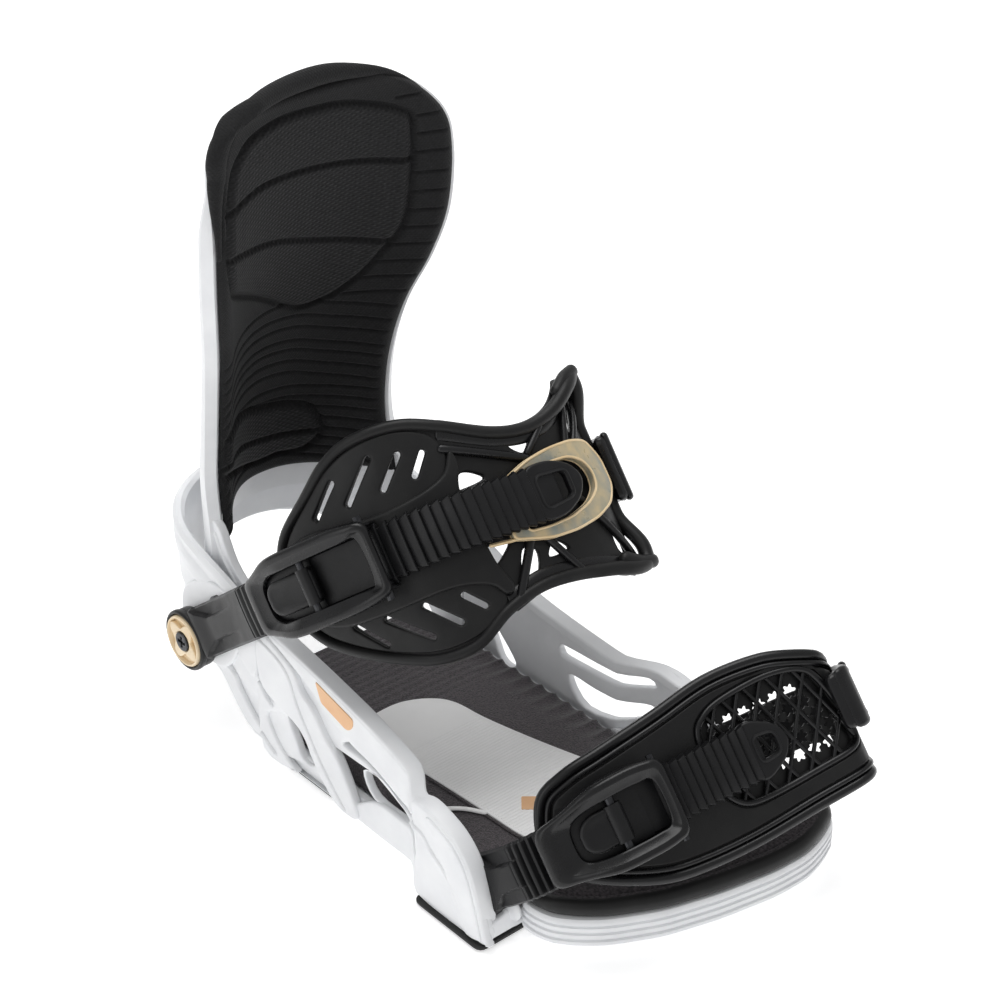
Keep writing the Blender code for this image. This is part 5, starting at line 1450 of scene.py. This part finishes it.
build_highback_shell()
build_liner()
build_lean_adjuster()
ANKLE_BUCKLE, TOE_BUCKLE = (0.072, 0.135), (0.036, 0.084)     # each (start, end) along its strap
ANKLE_WASHER = 0.0115
build_ladder("ankle", ANKLE, ANKLE_BUCKLE, end=0.215, last_tip=0.1915,
             hole=[(.1945, -.0060), (.1945, .0060), (.2075, .0048), (.2075, -.0048)],
             ribs=(0.0575, 0.0715, 3), hollows=(0.0125, 0.0480), washer=ANKLE_WASHER)
build_buckle("ankle", ANKLE, ANKLE_BUCKLE, square=True)
build_ankle_pad()
build_keeper()
build_connector("ankle", ANKLE, start=0.249, across=-0.0050, clamp_middle=(0.2470, -0.0050),
                clamp_half=0.0138)
build_ladder("toe", TOE, TOE_BUCKLE, end=0.1365, last_tip=0.1205,
             hole=[(.1225, -.0045), (.1225, .0045), (.1305, .0036), (.1305, -.0036)],
             ribs=(0.0235, 0.0355, 4), hollows=(0.0080, 0.0300))
build_buckle("toe", TOE, TOE_BUCKLE, square=False)
build_toe_pad()
build_connector("toe", TOE, start=0.1810, across=0.0020, clamp_middle=(0.1680, 0.0060),
                clamp_half=0.0112, over_pad=0.018)
build_bolts("ankle", ANKLE.bolt, outward=1, seat=0.0663, radius=ANKLE_WASHER)
build_bolts("toe", TOE.bolt, outward=-1, seat=0.0568, radius=0.0080)
dress_small_parts()


# ---- Floor, light and camera ------------------------------------------------------------------------
FLOOR_HALF = 30.0


def build_stage():
    """A pale floor that glows faintly, and a white sky."""
    surface = Surface("studio_floor", 0.85)
    surface.colour(surface.blend(surface.noise(3, 2.0), (0.90, 0.90, 0.90), (0.93, 0.93, 0.93)))
    surface.bump(surface.noise(400, 2.0), 0.00005, 0.1)
    surface.shader.inputs["Emission Color"].default_value = (1.0, 1.0, 1.0, 1.0)
    surface.shader.inputs["Emission Strength"].default_value = 0.50
    mesh = bpy.data.meshes.new("floor")
    corners = at_height(rectangle(0.0, 0.0, FLOOR_HALF, FLOOR_HALF), 0.0)
    mesh.from_pydata(corners.tolist(), [], [(0, 1, 2, 3)])
    mesh.materials.append(surface.material)
    floor = bpy.data.objects.new("floor", mesh)
    bpy.context.scene.collection.objects.link(floor)
    world = bpy.data.worlds.new("studio")
    world.use_nodes = True
    background = world.node_tree.nodes["Background"]
    background.inputs["Color"].default_value = (1.0, 1.0, 1.0, 1.0)
    background.inputs["Strength"].default_value = 0.47
    bpy.context.scene.world = world


def add_light(name, place, aim, size, watts):
    """A soft rectangular light at a place, turned towards aim."""
    data = bpy.data.lights.new(name, "AREA")
    data.shape = "RECTANGLE"
    data.size, data.size_y = size
    data.energy = watts
    light = bpy.data.objects.new(name, data)
    light.location = place
    light.rotation_euler = (Vector(aim) - Vector(place)).to_track_quat("-Z", "Y").to_euler()
    bpy.context.scene.collection.objects.link(light)


def add_camera():
    """The camera of the main view: back runs from its target to it."""
    data = bpy.data.cameras.new("camera")
    data.lens = 79.92
    data.sensor_width = 36
    camera = bpy.data.objects.new("camera", data)
    target = Vector((0.0897, 0.0837, 0.060))
    back = Vector((-0.5682, -0.6536, 0.5))
    camera.location = target + back
    camera.rotation_euler = back.to_track_quat("Z", "Y").to_euler()
    bpy.context.scene.collection.objects.link(camera)
    bpy.context.scene.camera = camera


build_stage()
add_light("overhead", (0.1, 0.2, 1.3), (0, 0, 0.05), (0.9, 0.9), 8.5)
add_light("left", (-1.3, -0.2, 0.7), (0, 0, 0.08), (0.5, 1.0), 2.4)
add_light("back", (0.5, 1.3, 0.8), (0, 0, 0.12), (0.9, 0.5), 1.8)
add_camera()
bpy.context.scene.view_settings.view_transform = "Standard"
